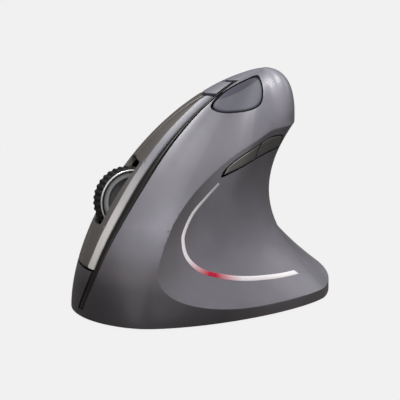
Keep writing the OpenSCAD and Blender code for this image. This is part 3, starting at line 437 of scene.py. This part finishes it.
def new_node(tree, kind, **values):
    """Shader node with attributes and input values set by name."""
    node = tree.nodes.new(kind)
    for key, value in values.items():
        if key[0].isupper():
            node.inputs[key.replace("_", " ")].default_value = value
        else:
            setattr(node, key, value)
    return node


def grain_group():
    """Node group for moulded plastic: a fine grain for the bump and a slow drift for the tone."""
    group = bpy.data.node_groups.get("moulded_grain")
    if group:
        return group
    group = bpy.data.node_groups.new("moulded_grain", "ShaderNodeTree")
    group.interface.new_socket("Vector", in_out="INPUT", socket_type="NodeSocketVector")
    for name, default in (("Scale", 2500.0), ("Drift", 60.0)):
        socket = group.interface.new_socket(name, in_out="INPUT", socket_type="NodeSocketFloat")
        socket.default_value = default
    group.interface.new_socket("Grain", in_out="OUTPUT", socket_type="NodeSocketFloat")
    group.interface.new_socket("Drift", in_out="OUTPUT", socket_type="NodeSocketFloat")
    start, end = group.nodes.new("NodeGroupInput"), group.nodes.new("NodeGroupOutput")
    fine = new_node(group, "ShaderNodeTexNoise", Detail=2.0, Roughness=0.6)
    slow = new_node(group, "ShaderNodeTexNoise", Detail=3.0, Roughness=0.5)
    for tex, socket, out in ((fine, "Scale", "Grain"), (slow, "Drift", "Drift")):
        group.links.new(start.outputs["Vector"], tex.inputs["Vector"])
        group.links.new(start.outputs[socket], tex.inputs["Scale"])
        group.links.new(tex.outputs["Fac"], end.inputs[out])
    return group


def moulded(name, colour, rough, scale=2500.0, bump=0.12, spread=0.12, coat=0.0, metallic=0.0, specular=0.5):
    """Moulded plastic: the tone drifts, the gloss follows the grain, and the grain is a low bump."""
    mat = bpy.data.materials.new(name)
    mat.use_nodes = True
    tree = mat.node_tree
    shader = tree.nodes["Principled BSDF"]
    coords = tree.nodes.new("ShaderNodeTexCoord")
    grain = new_node(tree, "ShaderNodeGroup", node_tree=grain_group())
    grain.inputs["Scale"].default_value = scale
    tree.links.new(coords.outputs["Object"], grain.inputs["Vector"])
    tones = tree.nodes.new("ShaderNodeValToRGB")
    for element, position, share in zip(tones.color_ramp.elements, (0.3, 0.7), (1 - spread, 1 + spread)):
        element.position, element.color = position, (*[c * share for c in colour], 1)
    tree.links.new(grain.outputs["Drift"], tones.inputs["Fac"])
    tree.links.new(tones.outputs["Color"], shader.inputs["Base Color"])
    gloss = new_node(tree, "ShaderNodeMapRange", To_Min=rough - 0.05, To_Max=rough + 0.07)
    tree.links.new(grain.outputs["Grain"], gloss.inputs["Value"])
    tree.links.new(gloss.outputs["Result"], shader.inputs["Roughness"])
    relief = new_node(tree, "ShaderNodeBump", Strength=bump, Distance=0.0001)
    tree.links.new(grain.outputs["Grain"], relief.inputs["Height"])
    tree.links.new(relief.outputs["Normal"], shader.inputs["Normal"])
    shader.inputs["Metallic"].default_value = metallic
    shader.inputs["Specular IOR Level"].default_value = specular
    shader.inputs["Coat Weight"].default_value = coat
    shader.inputs["Coat Roughness"].default_value = 0.12
    return mat


def tinted(mat, attribute, stops, emission=0.0):
    """Multiplies the tone of a material by a run of colours over an attribute, and lets it glow if asked."""
    tree = mat.node_tree
    shader = tree.nodes["Principled BSDF"]
    value = new_node(tree, "ShaderNodeAttribute", attribute_name=attribute)
    tones = tree.nodes.new("ShaderNodeValToRGB")
    while len(tones.color_ramp.elements) < len(stops):
        tones.color_ramp.elements.new(0.5)
    for element, (position, colour) in zip(tones.color_ramp.elements, stops):
        element.position, element.color = position, (*colour, 1)
    tree.links.new(value.outputs["Fac"], tones.inputs["Fac"])
    mix = new_node(tree, "ShaderNodeMix", data_type="RGBA", blend_type="MULTIPLY")
    mix.inputs["Factor"].default_value = 1.0
    tree.links.new(shader.inputs["Base Color"].links[0].from_socket, mix.inputs[6])
    tree.links.new(tones.outputs["Color"], mix.inputs[7])
    tree.links.new(mix.outputs[2], shader.inputs["Base Color"])
    if emission:
        tree.links.new(mix.outputs[2], shader.inputs["Emission Color"])
        shader.inputs["Emission Strength"].default_value = emission
    return mat


def thumb_heights(k, foot_row):
    """Heights of the thumb shell's rows at some places: the foot, the flange's side, the recess, the side
    above it, the hook, and the cap, whose rows crowd towards the peak along a sine."""
    low, high = recess_low(k), recess_high(k)
    shares = np.concatenate([ease(8, 0, 0.1)[:-1], np.linspace(0.1, 0.8, 25)[:-1], np.linspace(0.8, 1, 36)])
    peak_row = HEIGHT - 0.02
    return np.concatenate([
        [LIFT + 0 * k], [foot_row + (low - foot_row) * t for t in np.linspace(0, 1, 5)[:-1]],
        [recess_height(k, t) for t in shares],
        [high + (HOOK_ROW - high) * t for t in np.linspace(0, 1, 15)[1:]],
        [HOOK_ROW + (CAP_HEIGHT - HOOK_ROW) * t + 0 * k for t in np.linspace(0, 1, 33)[1:]],
        [CAP_HEIGHT + (peak_row - CAP_HEIGHT) * np.sin(t * np.pi / 2) + 0 * k
         for t in np.linspace(0, 1, CAP_ROWS + 1)[1:]]])


def thumb_places(heights, seam):
    """Places of the thumb shell's columns in each row: the foot under the ridge strip, the nose, the recess
    with close columns at its tip, its rear, and the cap on round to the strip."""
    right = REAR_SEAM - seam / 2 * place_per_mm(np.float64(REAR_SEAM), np.float64(LIFT))
    start, foot = strip_side(heights, 1, seam)[:, None] - 4, strip_side(heights, -1, 0)[:, None] - 4
    nose = start + (TIP_PLACE - start) * np.linspace(0, 1, 66)[None, :-1]
    front = TIP_PLACE + (BACK_PLACE - TIP_PLACE) * np.linspace(0, 1, 171)[None, :] ** 1.35 + 0 * start
    back = BACK_PLACE + (right - BACK_PLACE) * np.linspace(0, 1, 56)[None, 1:] + 0 * start
    cap = right + (foot + 4 - right) * np.linspace(0, 1, CAP_COLUMNS + 1)[None, 1:]
    return np.concatenate([foot, nose, front, back, cap], 1)


def foot_tone(z):
    """Painted shade of the shells by height, dark at the foot."""
    return FOOT_PAINTED_SHADE + (PLAIN_SHADING - FOOT_PAINTED_SHADE) * ramp(z, *FOOT_SHADE_FADE)


def thumb_tone(k, z):
    """Painted light and shade of the thumb shell: painted shade darkens the recess upwards and at its tip and
    fades into the side at its rear; painted light makes the nose, the hook and the flange's side lighter, and
    painted shade makes the face beside the nose darker."""
    u, low, high = unrolled(k), recess_low(k), recess_high(k)
    share = np.clip((z - low) / (high - low), 0, 1)
    in_recess = (u > TIP_PLACE) & (share > 1e-4) & (share < 1 - 1e-4)
    # Painted shade in the recess: darker upwards under the overhang and at its tip.
    recess_shade = PLAIN_SHADING * (1 - 0.3 * share - 0.5 * hump(u, *TIP_PAINTED_SHADE))
    # Painted light on the nose, the hook and the flange's side below the recess; painted shade on the face
    # beside the nose.
    nose = hump(u, *NOSE_PAINTED_LIGHT) * ramp(z, *NOSE_FROM) * ramp(z, *NOSE_TO)
    hook = hump(u, *HOOK_PAINTED_LIGHT) * ramp(z, *HOOK_FROM)
    face = hump(u, *FACE_PAINTED_SHADE) * ramp(z, *FACE_FROM)
    side = ramp(u, *FLANGE_FROM) * ramp(u, *FLANGE_TO) * (z <= low + 1e-3)
    plain = foot_tone(z) + 0.2 * np.minimum(nose + hook, 1) - 0.12 * face + 0.32 * side
    return np.where(in_recess, recess_shade + (plain - recess_shade) * ramp(u, *REAR_FADE), plain)


def add_thumb_skin(s, finish):
    """Thumb shell: the skin over a grid of rows and columns with windows for the keys, a wall that thins at
    the edges of the recess, and a fan of triangles at the peak."""
    foot_row = STRIP_FOOT - s["seam"]
    before_tip = np.array([TIP_PLACE - 0.4])
    k = thumb_places(thumb_heights(before_tip, foot_row)[:, 0], s["seam"])
    z = np.stack([thumb_heights(row, foot_row)[j] for j, row in enumerate(k)])
    rows, columns = k.shape
    keep = np.zeros((rows - 1, columns - 1), bool)
    keep[rows - CAP_ROWS - 1:, :] = True
    keep[:, 1:columns - CAP_COLUMNS - 1] = True
    keep[0, 0] = True
    k, z, quads, corners = cut_windows(k.ravel(), z.ravel(), grid_cells(rows, columns, keep),
                                       (top_field, thumb_field), s["seam"] / 2, 0.2)
    ring = (rows - 1) * columns + np.arange(columns)
    fan = np.stack([ring[:-1], ring[1:], np.full(columns - 1, rows * columns)], -1)
    lip = np.minimum(np.abs(z - recess_low(k)), np.abs(z - recess_high(k))) + 40 * np.clip(-unrolled(k), 0, 1)
    wall = s["wall"] * (0.2 + 0.8 * np.clip(lip / 4, 0, 1))
    outer = np.concatenate([inset(k, z, 0.0), [[*PEAK, HEIGHT]]])
    inner = np.concatenate([inset(k, z, wall), [[*PEAK, HEIGHT - s["wall"]]]])
    # Painted light and shade at every point of the thumb shell.
    tone = np.append(thumb_tone(k, z), PLAIN_SHADING)
    points, quads, triangles = slab(outer, inner, quads, np.concatenate([corners, fan]))
    obj = make_object("thumb_skin", points, quads, triangles, tone=np.tile(tone, 2))
    place_piece(obj, "body", "thumb_shell", finish)


def add_palm_skin(s, finish):
    """Palm shell: the skin from the rear seam to the ridge strip, with an opening for the finger plates."""
    low, middle, high, wide, narrow = 14, 90, 8, 60, 36
    z = np.concatenate([np.linspace(LIFT, PLATE_LOW, low + 1),
                        np.linspace(PLATE_LOW, PLATE_HIGH, middle + 1)[1:],
                        np.linspace(PLATE_HIGH, CAP_HEIGHT - s["seam"], high + 1)[1:]])
    begin = REAR_SEAM + s["seam"] / 2 * place_per_mm(np.full(z.shape, REAR_SEAM), z)[:, None]
    end = strip_side(z, -1, s["seam"])[:, None]
    k = np.concatenate([begin + (PLATE_EDGE - begin) * np.linspace(0, 1, wide + 1),
                        PLATE_EDGE + (end - PLATE_EDGE) * np.linspace(0, 1, narrow + 1)[1:]], 1)
    z = z[:, None] + 0 * k
    keep = np.ones((k.shape[0] - 1, k.shape[1] - 1), bool)
    keep[low:low + middle, wide:] = False
    # Painted shade darkens the palm shell towards its foot.
    obj = make_object("palm_skin", *sheet(k, z, 0.0, s["wall"], keep), tone=np.tile(foot_tone(z.ravel()), 2))
    place_piece(obj, "body", "palm_shell", finish)


class MOUSE_OT_shells(bpy.types.Operator):
    """Thumb shell with its recess and windows, and palm shell with the opening for the plates, both with
    painted light and shade
    """

    bl_idname = "mouse.shells"
    bl_label = "Shells"

    def execute(self, context):
        s = shape()
        finish = moulded("shell_grain_painted_shading", context.scene.mouse_look.shell, 0.42, coat=0.08)
        # Painted light and shade scale the shell's colour: black at 0, a warm dark grey for painted shade at
        # 0.4, the plain colour at 0.8 and lighter for painted light above it.
        tinted(finish, "tone", ((0.0, grey(0)), (0.4, (0.53, 0.5, 0.48)), (0.8, grey(1)), (1.0, grey(1.5))))
        add_thumb_skin(s, finish)
        add_palm_skin(s, finish)
        return {"FINISHED"}


class MOUSE_OT_strip(bpy.types.Operator):
    """Ridge strip: the band of skin between its two edges, sunk by the cube of the way from its middle"""

    bl_idname = "mouse.strip"
    bl_label = "Ridge strip"

    def execute(self, context):
        s = shape()
        z = np.linspace(STRIP_FOOT, CAP_HEIGHT - s["seam"], 161)[:, None]
        t = ease(10, -1, 1)[None, :]
        low, high = strip_side(z, -1, 0), strip_side(z, 1, 0)
        k = (low + high) / 2 + (high - low) / 2 * t
        z = z + 0 * k
        depth = STRIP_SINK + STRIP_CROWN * np.abs(t) ** 3 + 0 * k
        obj = make_object("ridge_trim", *sheet(k, z, depth, STRIP_DEPTH))
        gloss = moulded("strip_gloss", (0.014, 0.0135, 0.012), 0.3, scale=500, bump=0.02, spread=0.2,
                        specular=0.25)
        place_piece(obj, "body", "ridge_strip", gloss)
        return {"FINISHED"}


class MOUSE_OT_plates(bpy.types.Operator):
    """Finger plates: bands of skin on either side of the slot, with round edges and a bevel at the strip that
    carries a painted highlight
    """

    bl_idname = "mouse.plates"
    bl_label = "Finger plates"

    def execute(self, context):
        s = shape()
        satin_painted_highlight = moulded("plate_satin_painted_highlight", context.scene.mouse_look.plate, 0.4, scale=2200, bump=0.08)
        # Painted highlight: the bevel's colour is raised up to six times, with a cool tint.
        tinted(satin_painted_highlight, "bevel", ((0.0, grey(1)), (0.3, (1.8, 1.95, 2.4)), (1.0, (5.7, 6.0, 6.2))))
        rows = ease(130, PLATE_LOW + s["plate_gap"], PLATE_HIGH - s["seam"])[:, None]
        half = s["tyre_width"] / 2 + SLOT_ROOM
        for name, node, body in (("left_plate_skin", "left_button", "left_plate"),
                                 ("right_plate_skin", "right_button", "right_plate")):
            if node == "left_button":
                a, b = slot_side(rows, 1, half, s["seam"]), strip_side(rows, -1, s["plate_gap"])
            else:
                a = PLATE_EDGE + s["plate_gap"] * place_per_mm(np.full(rows.shape, PLATE_EDGE), rows)
                b = slot_side(rows, -1, half, s["seam"])
            k = a + (b - a) * ease(44)[None, :]
            z = rows + 0 * k
            per = place_per_mm(k, z)
            left, right = (k - a) / per, (b - k) / per
            ends = np.minimum(z - rows[0], rows[-1] - z) * 1.2
            depth = round_over(np.minimum(np.minimum(left, right), ends), s["edge_radius"])
            bevel_highlight = 0 * depth
            if node == "left_button":
                # Painted highlight across the bevel, faded higher up.
                bevel_highlight = ramp(right, s["bevel_width"], s["bevel_width"] - BEVEL_START)
                bevel_highlight = bevel_highlight * (1 - BEVEL_FADED * ramp(z, *BEVEL_FADE))
                depth = np.maximum(depth, s["bevel_depth"] * np.clip(1 - right / s["bevel_width"], 0, 1)
                                   + round_over(right, s["edge_radius"]) * 0.6)
            obj = make_object(name, *sheet(k, z, depth, s["wall"]), bevel=np.tile(bevel_highlight.ravel(), 2))
            place_piece(obj, body, node, satin_painted_highlight)
        return {"FINISHED"}


def add_thumb_keys(s, finish):
    """Thumb keys: one superellipse patch in shares of the recess, split in two, with quarter-round edges."""
    gap = s["seam"] / 2
    per = place_per_mm(np.float64(THUMB_PLACE), recess_height(THUMB_PLACE, THUMB_SHARE))
    reach = THUMB_REACH - gap * per
    split = gap * per / THUMB_REACH
    v = ease(28, -1, 1)[:, None]
    for name, node, body, u0, u1 in (
            ("forward_cap", "forward_button", "forward_key", THUMB_FRONT, THUMB_SPLIT - split),
            ("back_cap", "back_button", "back_key", THUMB_SPLIT + split, THUMB_BACK)):
        u = np.sin(np.linspace(math.asin(u0), math.asin(u1), 61))[None, :]
        room = THUMB_ROOM * ramp(-u, 0.3, 0.6)
        tall = (1 - (np.abs(u) + room) ** THUMB_POWER) ** (1 / THUMB_POWER)
        k = THUMB_PLACE + reach * u + 0 * v
        half = THUMB_HALF * (recess_high(k) - recess_low(k)) * tall - gap
        z = recess_height(k, THUMB_SHARE) + v * half
        edge = np.minimum((1 - np.abs(v)) * half, np.minimum(u - u0, u1 - u) * reach / per)
        obj = make_object(name, *sheet(k, z, round_over(edge, s["edge_radius"]), KEY_DEPTH))
        place_piece(obj, body, node, finish)


def add_top_key(s, finish):
    """Top key: rings of a superellipse on the skin with a quarter-round edge, and a fan inside them."""
    gap = s["seam"] / 2
    r = np.concatenate([np.linspace(0.04, 0.9, 22)[:-1], ease(12, 0.9, 1.0)])[:, None]
    a = np.linspace(0, 2 * np.pi, 145)[None, :-1]
    c, n = (np.sign(wave) * np.abs(wave) ** (2 / TOP_POWER) for wave in (np.cos(a), np.sin(a)))
    per = place_per_mm(np.float64(TOP_PLACE), np.float64(TOP_HEIGHT))
    k = TOP_PLACE + r * (TOP_REACH - gap * per) * c
    z = np.minimum(TOP_HEIGHT + r * (TOP_HALF - gap) * n, HEIGHT - 0.6)
    depth = round_over((1 - r) * TOP_HALF + 0 * k, s["edge_radius"])
    rows, sides = k.shape
    index = np.arange(rows * sides).reshape(rows, sides)
    beside = np.roll(index, -1, 1)
    quads = np.stack([index[:-1], index[1:], beside[1:], beside[:-1]], -1).reshape(-1, 4)
    fan = np.stack([index[0], beside[0], np.full(sides, rows * sides)], -1)
    k, z, depth = np.append(k, TOP_PLACE), np.append(z, TOP_HEIGHT), np.append(depth, 0.0)
    # Share towards the upper left, which carries the painted shade along that edge.
    rise = np.append((r * (0.8 * n - 0.6 * c)).ravel(), 0) * 0.5 + 0.5
    points, quads, triangles = slab(inset(k, z, depth), inset(k, z, KEY_DEPTH), quads, fan)
    obj = make_object("top_cap", points, quads, triangles, rise=np.tile(rise, 2))
    place_piece(obj, "top_key", "dpi_button", finish)


class MOUSE_OT_keys(bpy.types.Operator):
    """Two thumb keys and the top key, each a cap that follows the skin"""

    bl_idname = "mouse.keys"
    bl_label = "Keys"

    def execute(self, context):
        s = shape()
        look = context.scene.mouse_look
        add_thumb_keys(s, moulded("key_matt", look.key, 0.4, bump=0.1))
        finish = moulded("top_key_matt", look.top_key, 0.55, bump=0.1, specular=0.3)
        # Painted shade: a darker band along the upper left edge of the top key.
        painted_shade = (0.52, 0.49, 0.56)
        tinted(finish, "rise", ((0.0, grey(1)), (0.68, grey(1)), (0.7, painted_shade), (1.0, painted_shade)))
        add_top_key(s, finish)
        return {"FINISHED"}


class MOUSE_OT_light(bpy.types.Operator):
    """Light guide: a ribbon along its route on the skin, with a fourth-power crown and a slanted end"""

    bl_idname = "mouse.light"
    bl_label = "Light guide"

    def execute(self, context):
        look = context.scene.mouse_look
        s, t = np.linspace(0, 1, 201), ease(8, -1, 1)
        last = len(ROUTE) - 1
        place, share, width = (keyed(s * last, list(enumerate(column))) for column in zip(*ROUTE))
        z = recess_height(place, share)
        path, out = skin(place, z), outward(place, z)
        tangent = unit(np.gradient(path, axis=0))
        across = unit(np.cross(tangent, out))
        aside = (GUIDE_WIDTH / 2 * width[:, None] * t)[..., None] * across[:, None]
        crown = (0.06 - 0.1 * np.abs(t) ** 4)[None, :, None] * out[:, None]
        slant = (GUIDE_SLANT * ramp(s, *GUIDE_END)[:, None] * (1 - t))[..., None] * tangent[:, None]
        outer = path[:, None] + aside + crown - slant
        inner = outer - GUIDE_DEPTH * out[:, None]
        cells = grid_cells(len(s), len(t))[:, ::-1]
        points, quads, triangles = slab(outer.reshape(-1, 3), inner.reshape(-1, 3), cells)
        run = np.tile(np.repeat(s, len(t)), 2)
        obj = make_object("light_guide", points, quads, triangles, run=run)
        milky = moulded("light_milky", (1, 1, 1), 0.25, scale=900, bump=0.02, spread=0.02, coat=0.2)
        lit, red = tuple(look.lit), tuple(look.red)
        dim = tuple(c * 0.45 for c in lit)
        stops = ((0.0, dim), (0.35, lit), (0.47, lit), (0.59, red), (0.62, red), (0.74, lit), (1.0, lit))
        tinted(milky, "run", stops, emission=0.1)
        place_piece(obj, "body", "light_strip", milky)
        return {"FINISHED"}


def revolve(name, axle, x, r, **attributes):
    """Ring: a closed section, its way along the axle and its radius at every side, turned once round."""
    origin, across, up, out = axle
    rows, sides = r.shape
    a = np.linspace(0, 2 * np.pi, sides + 1)[None, :-1] + 0 * r
    wide, high = (r * np.cos(a))[..., None] * out, (r * np.sin(a))[..., None] * up
    points = origin + x[..., None] * across + wide + high
    index = np.arange(rows * sides).reshape(rows, sides)
    down, beside = np.roll(index, -1, 0), np.roll(index, -1, 1)
    quads = np.stack([index, down, np.roll(down, -1, 1), beside], -1).reshape(-1, 4)
    return make_object(name, points.reshape(-1, 3), quads, smooth=50, **attributes)


def add_tyre(s, ribs, axle):
    """Tyre: a tread with quarter-round shoulders over a plain bore, less a clipped cosine for the ribs, with
    painted shade in the grooves and a painted highlight on the crests.
    """
    radius, half = s["wheel_d"] / 2, s["tyre_width"] / 2
    shoulder, wall, rib_depth = 0.55, 2.5, 0.34
    t = np.linspace(-1, 1, 33)
    drop = np.clip((np.abs(t) * half - (half - shoulder)) / shoulder, 0, 1)
    tread = radius - shoulder * (1 - np.sqrt(1 - drop**2))
    x = np.concatenate([t * half, [half, -half]])[:, None]
    cut = np.concatenate([np.ones(len(t)), [0, 0]])[:, None]
    a = np.linspace(0, 2 * np.pi, ribs * 14 + 1)[None, :-1]
    wave = np.clip(0.5 - 0.9 * np.cos(a * ribs), 0, 1)
    r = np.concatenate([tread, [radius - wall, radius - wall]])[:, None] - rib_depth * (1 - wave) * cut
    obj = revolve("tyre", axle, x + 0 * r, r, rib=(wave * cut + 0 * r).ravel())
    rubber = moulded("tyre_rubber", (0.013, 0.0125, 0.012), 0.65, scale=1800, bump=0.2, specular=0.25)
    # Painted shade darkens the grooves and the bore, and a painted highlight lightens the crests of the ribs.
    tinted(rubber, "rib", ((0.0, grey(0.35)), (0.6, grey(0.8)), (1.0, (1.1, 1.08, 1.06))))
    place_piece(obj, "wheel", "wheel_tyre", rubber)


def add_rims(s, axle):
    """Rims: a superellipse section turned about the axle on each side of the tyre, coloured by its radius
    with a painted reflection of chrome.
    """
    top, bottom = s["wheel_d"] / 2 - RIM_TOP, s["wheel_d"] / 2 - RIM_BOTTOM
    middle, half = (top + bottom) / 2, (top - bottom) / 2
    b = np.linspace(0, 2 * np.pi, 25)[:-1, None] + np.zeros((1, 144))
    aside, rise = (np.sign(wave) * np.abs(wave) ** (2 / RIM_POWER) for wave in (np.sin(b), np.cos(b)))
    beside = s["tyre_width"] / 2 + RIM_HALF
    pieces = [revolve(name, axle, side * beside + RIM_HALF * aside, middle + half * rise,
                      ring=(rise / 2 + 0.5).ravel())
              for name, side in (("rim_right", -1), ("rim_left", 1))]
    silver_painted_reflection = moulded("rim_silver_painted_reflection", (0.55, 0.55, 0.56), 0.2, scale=1500, bump=0.02, spread=0.03, metallic=0.3)
    # Painted reflection: bright bands at the inner and outer edges and a nearly black band near the outer
    # edge.
    stops = ((0.0, 1.1), (0.4, 0.55), (0.58, 0.35), (0.62, 0.03), (0.84, 0.03), (0.88, 1.15), (1.0, 1.15))
    tinted(silver_painted_reflection, "ring", [(position, grey(value)) for position, value in stops])
    for piece in pieces:
        piece.data.materials.append(silver_painted_reflection)
        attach(piece, "wheel")
    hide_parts("wheel_rims")


class MOUSE_OT_wheel(bpy.types.Operator):
    """Ribbed tyre and two bright rims, turned about the axle of the wheel"""

    bl_idname = "mouse.wheel"
    bl_label = "Scroll wheel"

    def execute(self, context):
        s = shape()
        axle = frame_on_skin(WHEEL_PLACE, WHEEL_HEIGHT, s["wheel_d"] / 2 - WHEEL_PROUD)
        add_tyre(s, context.scene.mouse_shape.ribs, axle)
        add_rims(s, axle)
        return {"FINISHED"}


class MOUSE_OT_finishes(bpy.types.Operator):
    """Materials of the nodes that keep their own shape"""

    bl_idname = "mouse.finishes"
    bl_label = "Finishes"

    def execute(self, context):
        plain = {
            "steel": moulded("plain_steel", (0.55, 0.55, 0.57), 0.28, scale=3000, bump=0.05, metallic=1.0),
            "inner": moulded("inner_plastic", (0.075, 0.075, 0.082), 0.5),
            "switch": moulded("switch_plastic", (0.016, 0.016, 0.018), 0.42),
            "board": moulded("board_mask", (0.012, 0.085, 0.035), 0.3, scale=700, bump=0.15, spread=0.35,
                             coat=0.3),
            "base": moulded("base_plastic", (0.022, 0.022, 0.024), 0.5, scale=1800, bump=0.25),
            "foot": moulded("foot_slick", (0.009, 0.009, 0.009), 0.3, bump=0.05),
            "slider": moulded("slider_plastic", (0.42, 0.42, 0.42), 0.4),
            "lens": moulded("lens_clear", (0.75, 0.8, 0.85), 0.06, bump=0.01, spread=0.02, coat=0.5),
            "cell": moulded("cell_wrap", (0.42, 0.26, 0.05), 0.25, scale=900, bump=0.04, coat=0.4),
            "led": moulded("led_red", (0.6, 0.02, 0.05), 0.2, bump=0.02, coat=0.4),
        }
        for entry in frame["record"]["subparts"]:
            mat = plain.get(entry["material_slot"])
            if mat is None:
                continue
            obj = frame["nodes"][entry["node"]]
            obj.data.materials.clear()
            obj.data.materials.append(mat)
        return {"FINISHED"}


def floor_material():
    """Pale sheet that the camera sees evenly lit, while the object gets the low bounce of a grey one."""
    mat = moulded("floor_pale", (0.14, 0.13, 0.125), 0.9, scale=200, bump=0.0, spread=0.01, specular=0.1)
    tree = mat.node_tree
    paths = tree.nodes.new("ShaderNodeLightPath")
    glow = new_node(tree, "ShaderNodeEmission", Color=(0.93, 0.93, 0.93, 1))
    share = new_node(tree, "ShaderNodeMath", operation="MULTIPLY")
    share.inputs[1].default_value = 0.93
    mix = tree.nodes.new("ShaderNodeMixShader")
    tree.links.new(paths.outputs["Is Camera Ray"], share.inputs[0])
    tree.links.new(share.outputs[0], mix.inputs[0])
    tree.links.new(tree.nodes["Principled BSDF"].outputs[0], mix.inputs[1])
    tree.links.new(glow.outputs[0], mix.inputs[2])
    tree.links.new(mix.outputs[0], tree.nodes["Material Output"].inputs[0])
    return mat


def aim(obj, direction):
    """Turns a camera or a lamp to look along a direction."""
    obj.rotation_euler = direction.to_track_quat("-Z", "Y").to_euler()


def add_camera(scene, st):
    """Camera at its azimuth, elevation and distance from the target."""
    data = bpy.data.cameras.new("camera")
    data.sensor_width, data.lens, data.shift_x = 36.0, st.lens, st.shift
    camera = bpy.data.objects.new("camera", data)
    scene.collection.objects.link(camera)
    level = math.cos(st.elevation)
    back = Vector((math.sin(st.azimuth) * level, -math.cos(st.azimuth) * level, math.sin(st.elevation)))
    camera.location = Vector((0, 0, st.target)) + back * st.distance
    aim(camera, -back)
    scene.camera = camera


def add_floor(scene):
    """Wide flat floor."""
    mesh = bpy.data.meshes.new("floor")
    mesh.from_pydata([(-6, -6, 0), (6, -6, 0), (6, 6, 0), (-6, 6, 0)], [], [(0, 1, 2, 3)])
    floor = bpy.data.objects.new("floor", mesh)
    scene.collection.objects.link(floor)
    mesh.materials.append(floor_material())


def add_lamps(scene):
    """Round area lamps, each aimed at a height of the object."""
    for name, place, height, size, power in (
            ("key_light", (0.1, -0.3, 2.2), 0.03, 0.9, 60),
            ("fill_light", (-0.3, -2.1, 1.1), 0.03, 1.4, 9),
            ("side_light", (1.3, -1.5, 0.9), 0.03, 1.2, 5),
            ("rim_light", (1.3, 1.4, 1.5), 0.04, 1.4, 14)):
        lamp = bpy.data.lights.new(name, "AREA")
        lamp.shape, lamp.size, lamp.energy = "DISK", size, power
        obj = bpy.data.objects.new(name, lamp)
        scene.collection.objects.link(obj)
        obj.location = place
        aim(obj, Vector((0, 0, height)) - Vector(place))


def add_world(scene):
    """Dim grey surroundings that the camera sees as nearly white."""
    world = bpy.data.worlds.new("studio")
    scene.world = world
    world.use_nodes = True
    tree = world.node_tree
    paths = tree.nodes.new("ShaderNodeLightPath")
    mix = new_node(tree, "ShaderNodeMix", data_type="RGBA")
    mix.inputs[6].default_value = (0.12, 0.12, 0.12, 1)
    mix.inputs[7].default_value = (0.89, 0.89, 0.89, 1)
    tree.links.new(paths.outputs["Is Camera Ray"], mix.inputs["Factor"])
    tree.links.new(mix.outputs[2], tree.nodes["Background"].inputs["Color"])


class MOUSE_OT_stage(bpy.types.Operator):
    """Camera, soft light and a pale floor"""

    bl_idname = "mouse.stage"
    bl_label = "Stage"

    def execute(self, context):
        scene = context.scene
        scene.view_settings.view_transform = "Standard"
        add_camera(scene, scene.mouse_stage)
        add_floor(scene)
        add_lamps(scene)
        add_world(scene)
        return {"FINISHED"}


class MOUSE_PT_panel(bpy.types.Panel):
    """Buttons and settings in the sidebar"""

    bl_idname = "MOUSE_PT_panel"
    bl_label = "Vertical mouse"
    bl_space_type = "VIEW_3D"
    bl_region_type = "UI"
    bl_category = "Mouse"

    def draw(self, context):
        layout = self.layout
        for operator in OPERATORS:
            layout.operator(operator.bl_idname)
        for group in (context.scene.mouse_shape, context.scene.mouse_look, context.scene.mouse_stage):
            for key in group.bl_rna.properties.keys():
                if key not in ("rna_type", "name"):
                    layout.prop(group, key)


GROUPS = (MouseShape, MouseLook, MouseStage)
OPERATORS = (MOUSE_OT_shells, MOUSE_OT_strip, MOUSE_OT_plates, MOUSE_OT_keys, MOUSE_OT_light, MOUSE_OT_wheel,
             MOUSE_OT_finishes, MOUSE_OT_stage)


def register():
    """Registers the classes and hangs the settings on the scene."""
    for cls in (*GROUPS, *OPERATORS, MOUSE_PT_panel):
        bpy.utils.register_class(cls)
    bpy.types.Scene.mouse_shape = PointerProperty(type=MouseShape)
    bpy.types.Scene.mouse_look = PointerProperty(type=MouseLook)
    bpy.types.Scene.mouse_stage = PointerProperty(type=MouseStage)


def unregister():
    """Takes the settings and classes away again."""
    del bpy.types.Scene.mouse_stage
    del bpy.types.Scene.mouse_look
    del bpy.types.Scene.mouse_shape
    for cls in reversed((*GROUPS, *OPERATORS, MOUSE_PT_panel)):
        bpy.utils.unregister_class(cls)


def main():
    """Builds every piece in order."""
    register()
    bpy.ops.mouse.shells()
    bpy.ops.mouse.strip()
    bpy.ops.mouse.plates()
    bpy.ops.mouse.keys()
    bpy.ops.mouse.light()
    bpy.ops.mouse.wheel()
    bpy.ops.mouse.finishes()
    bpy.ops.mouse.stage()
    bpy.context.view_layer.update()


if __name__ == "__main__":
    main()
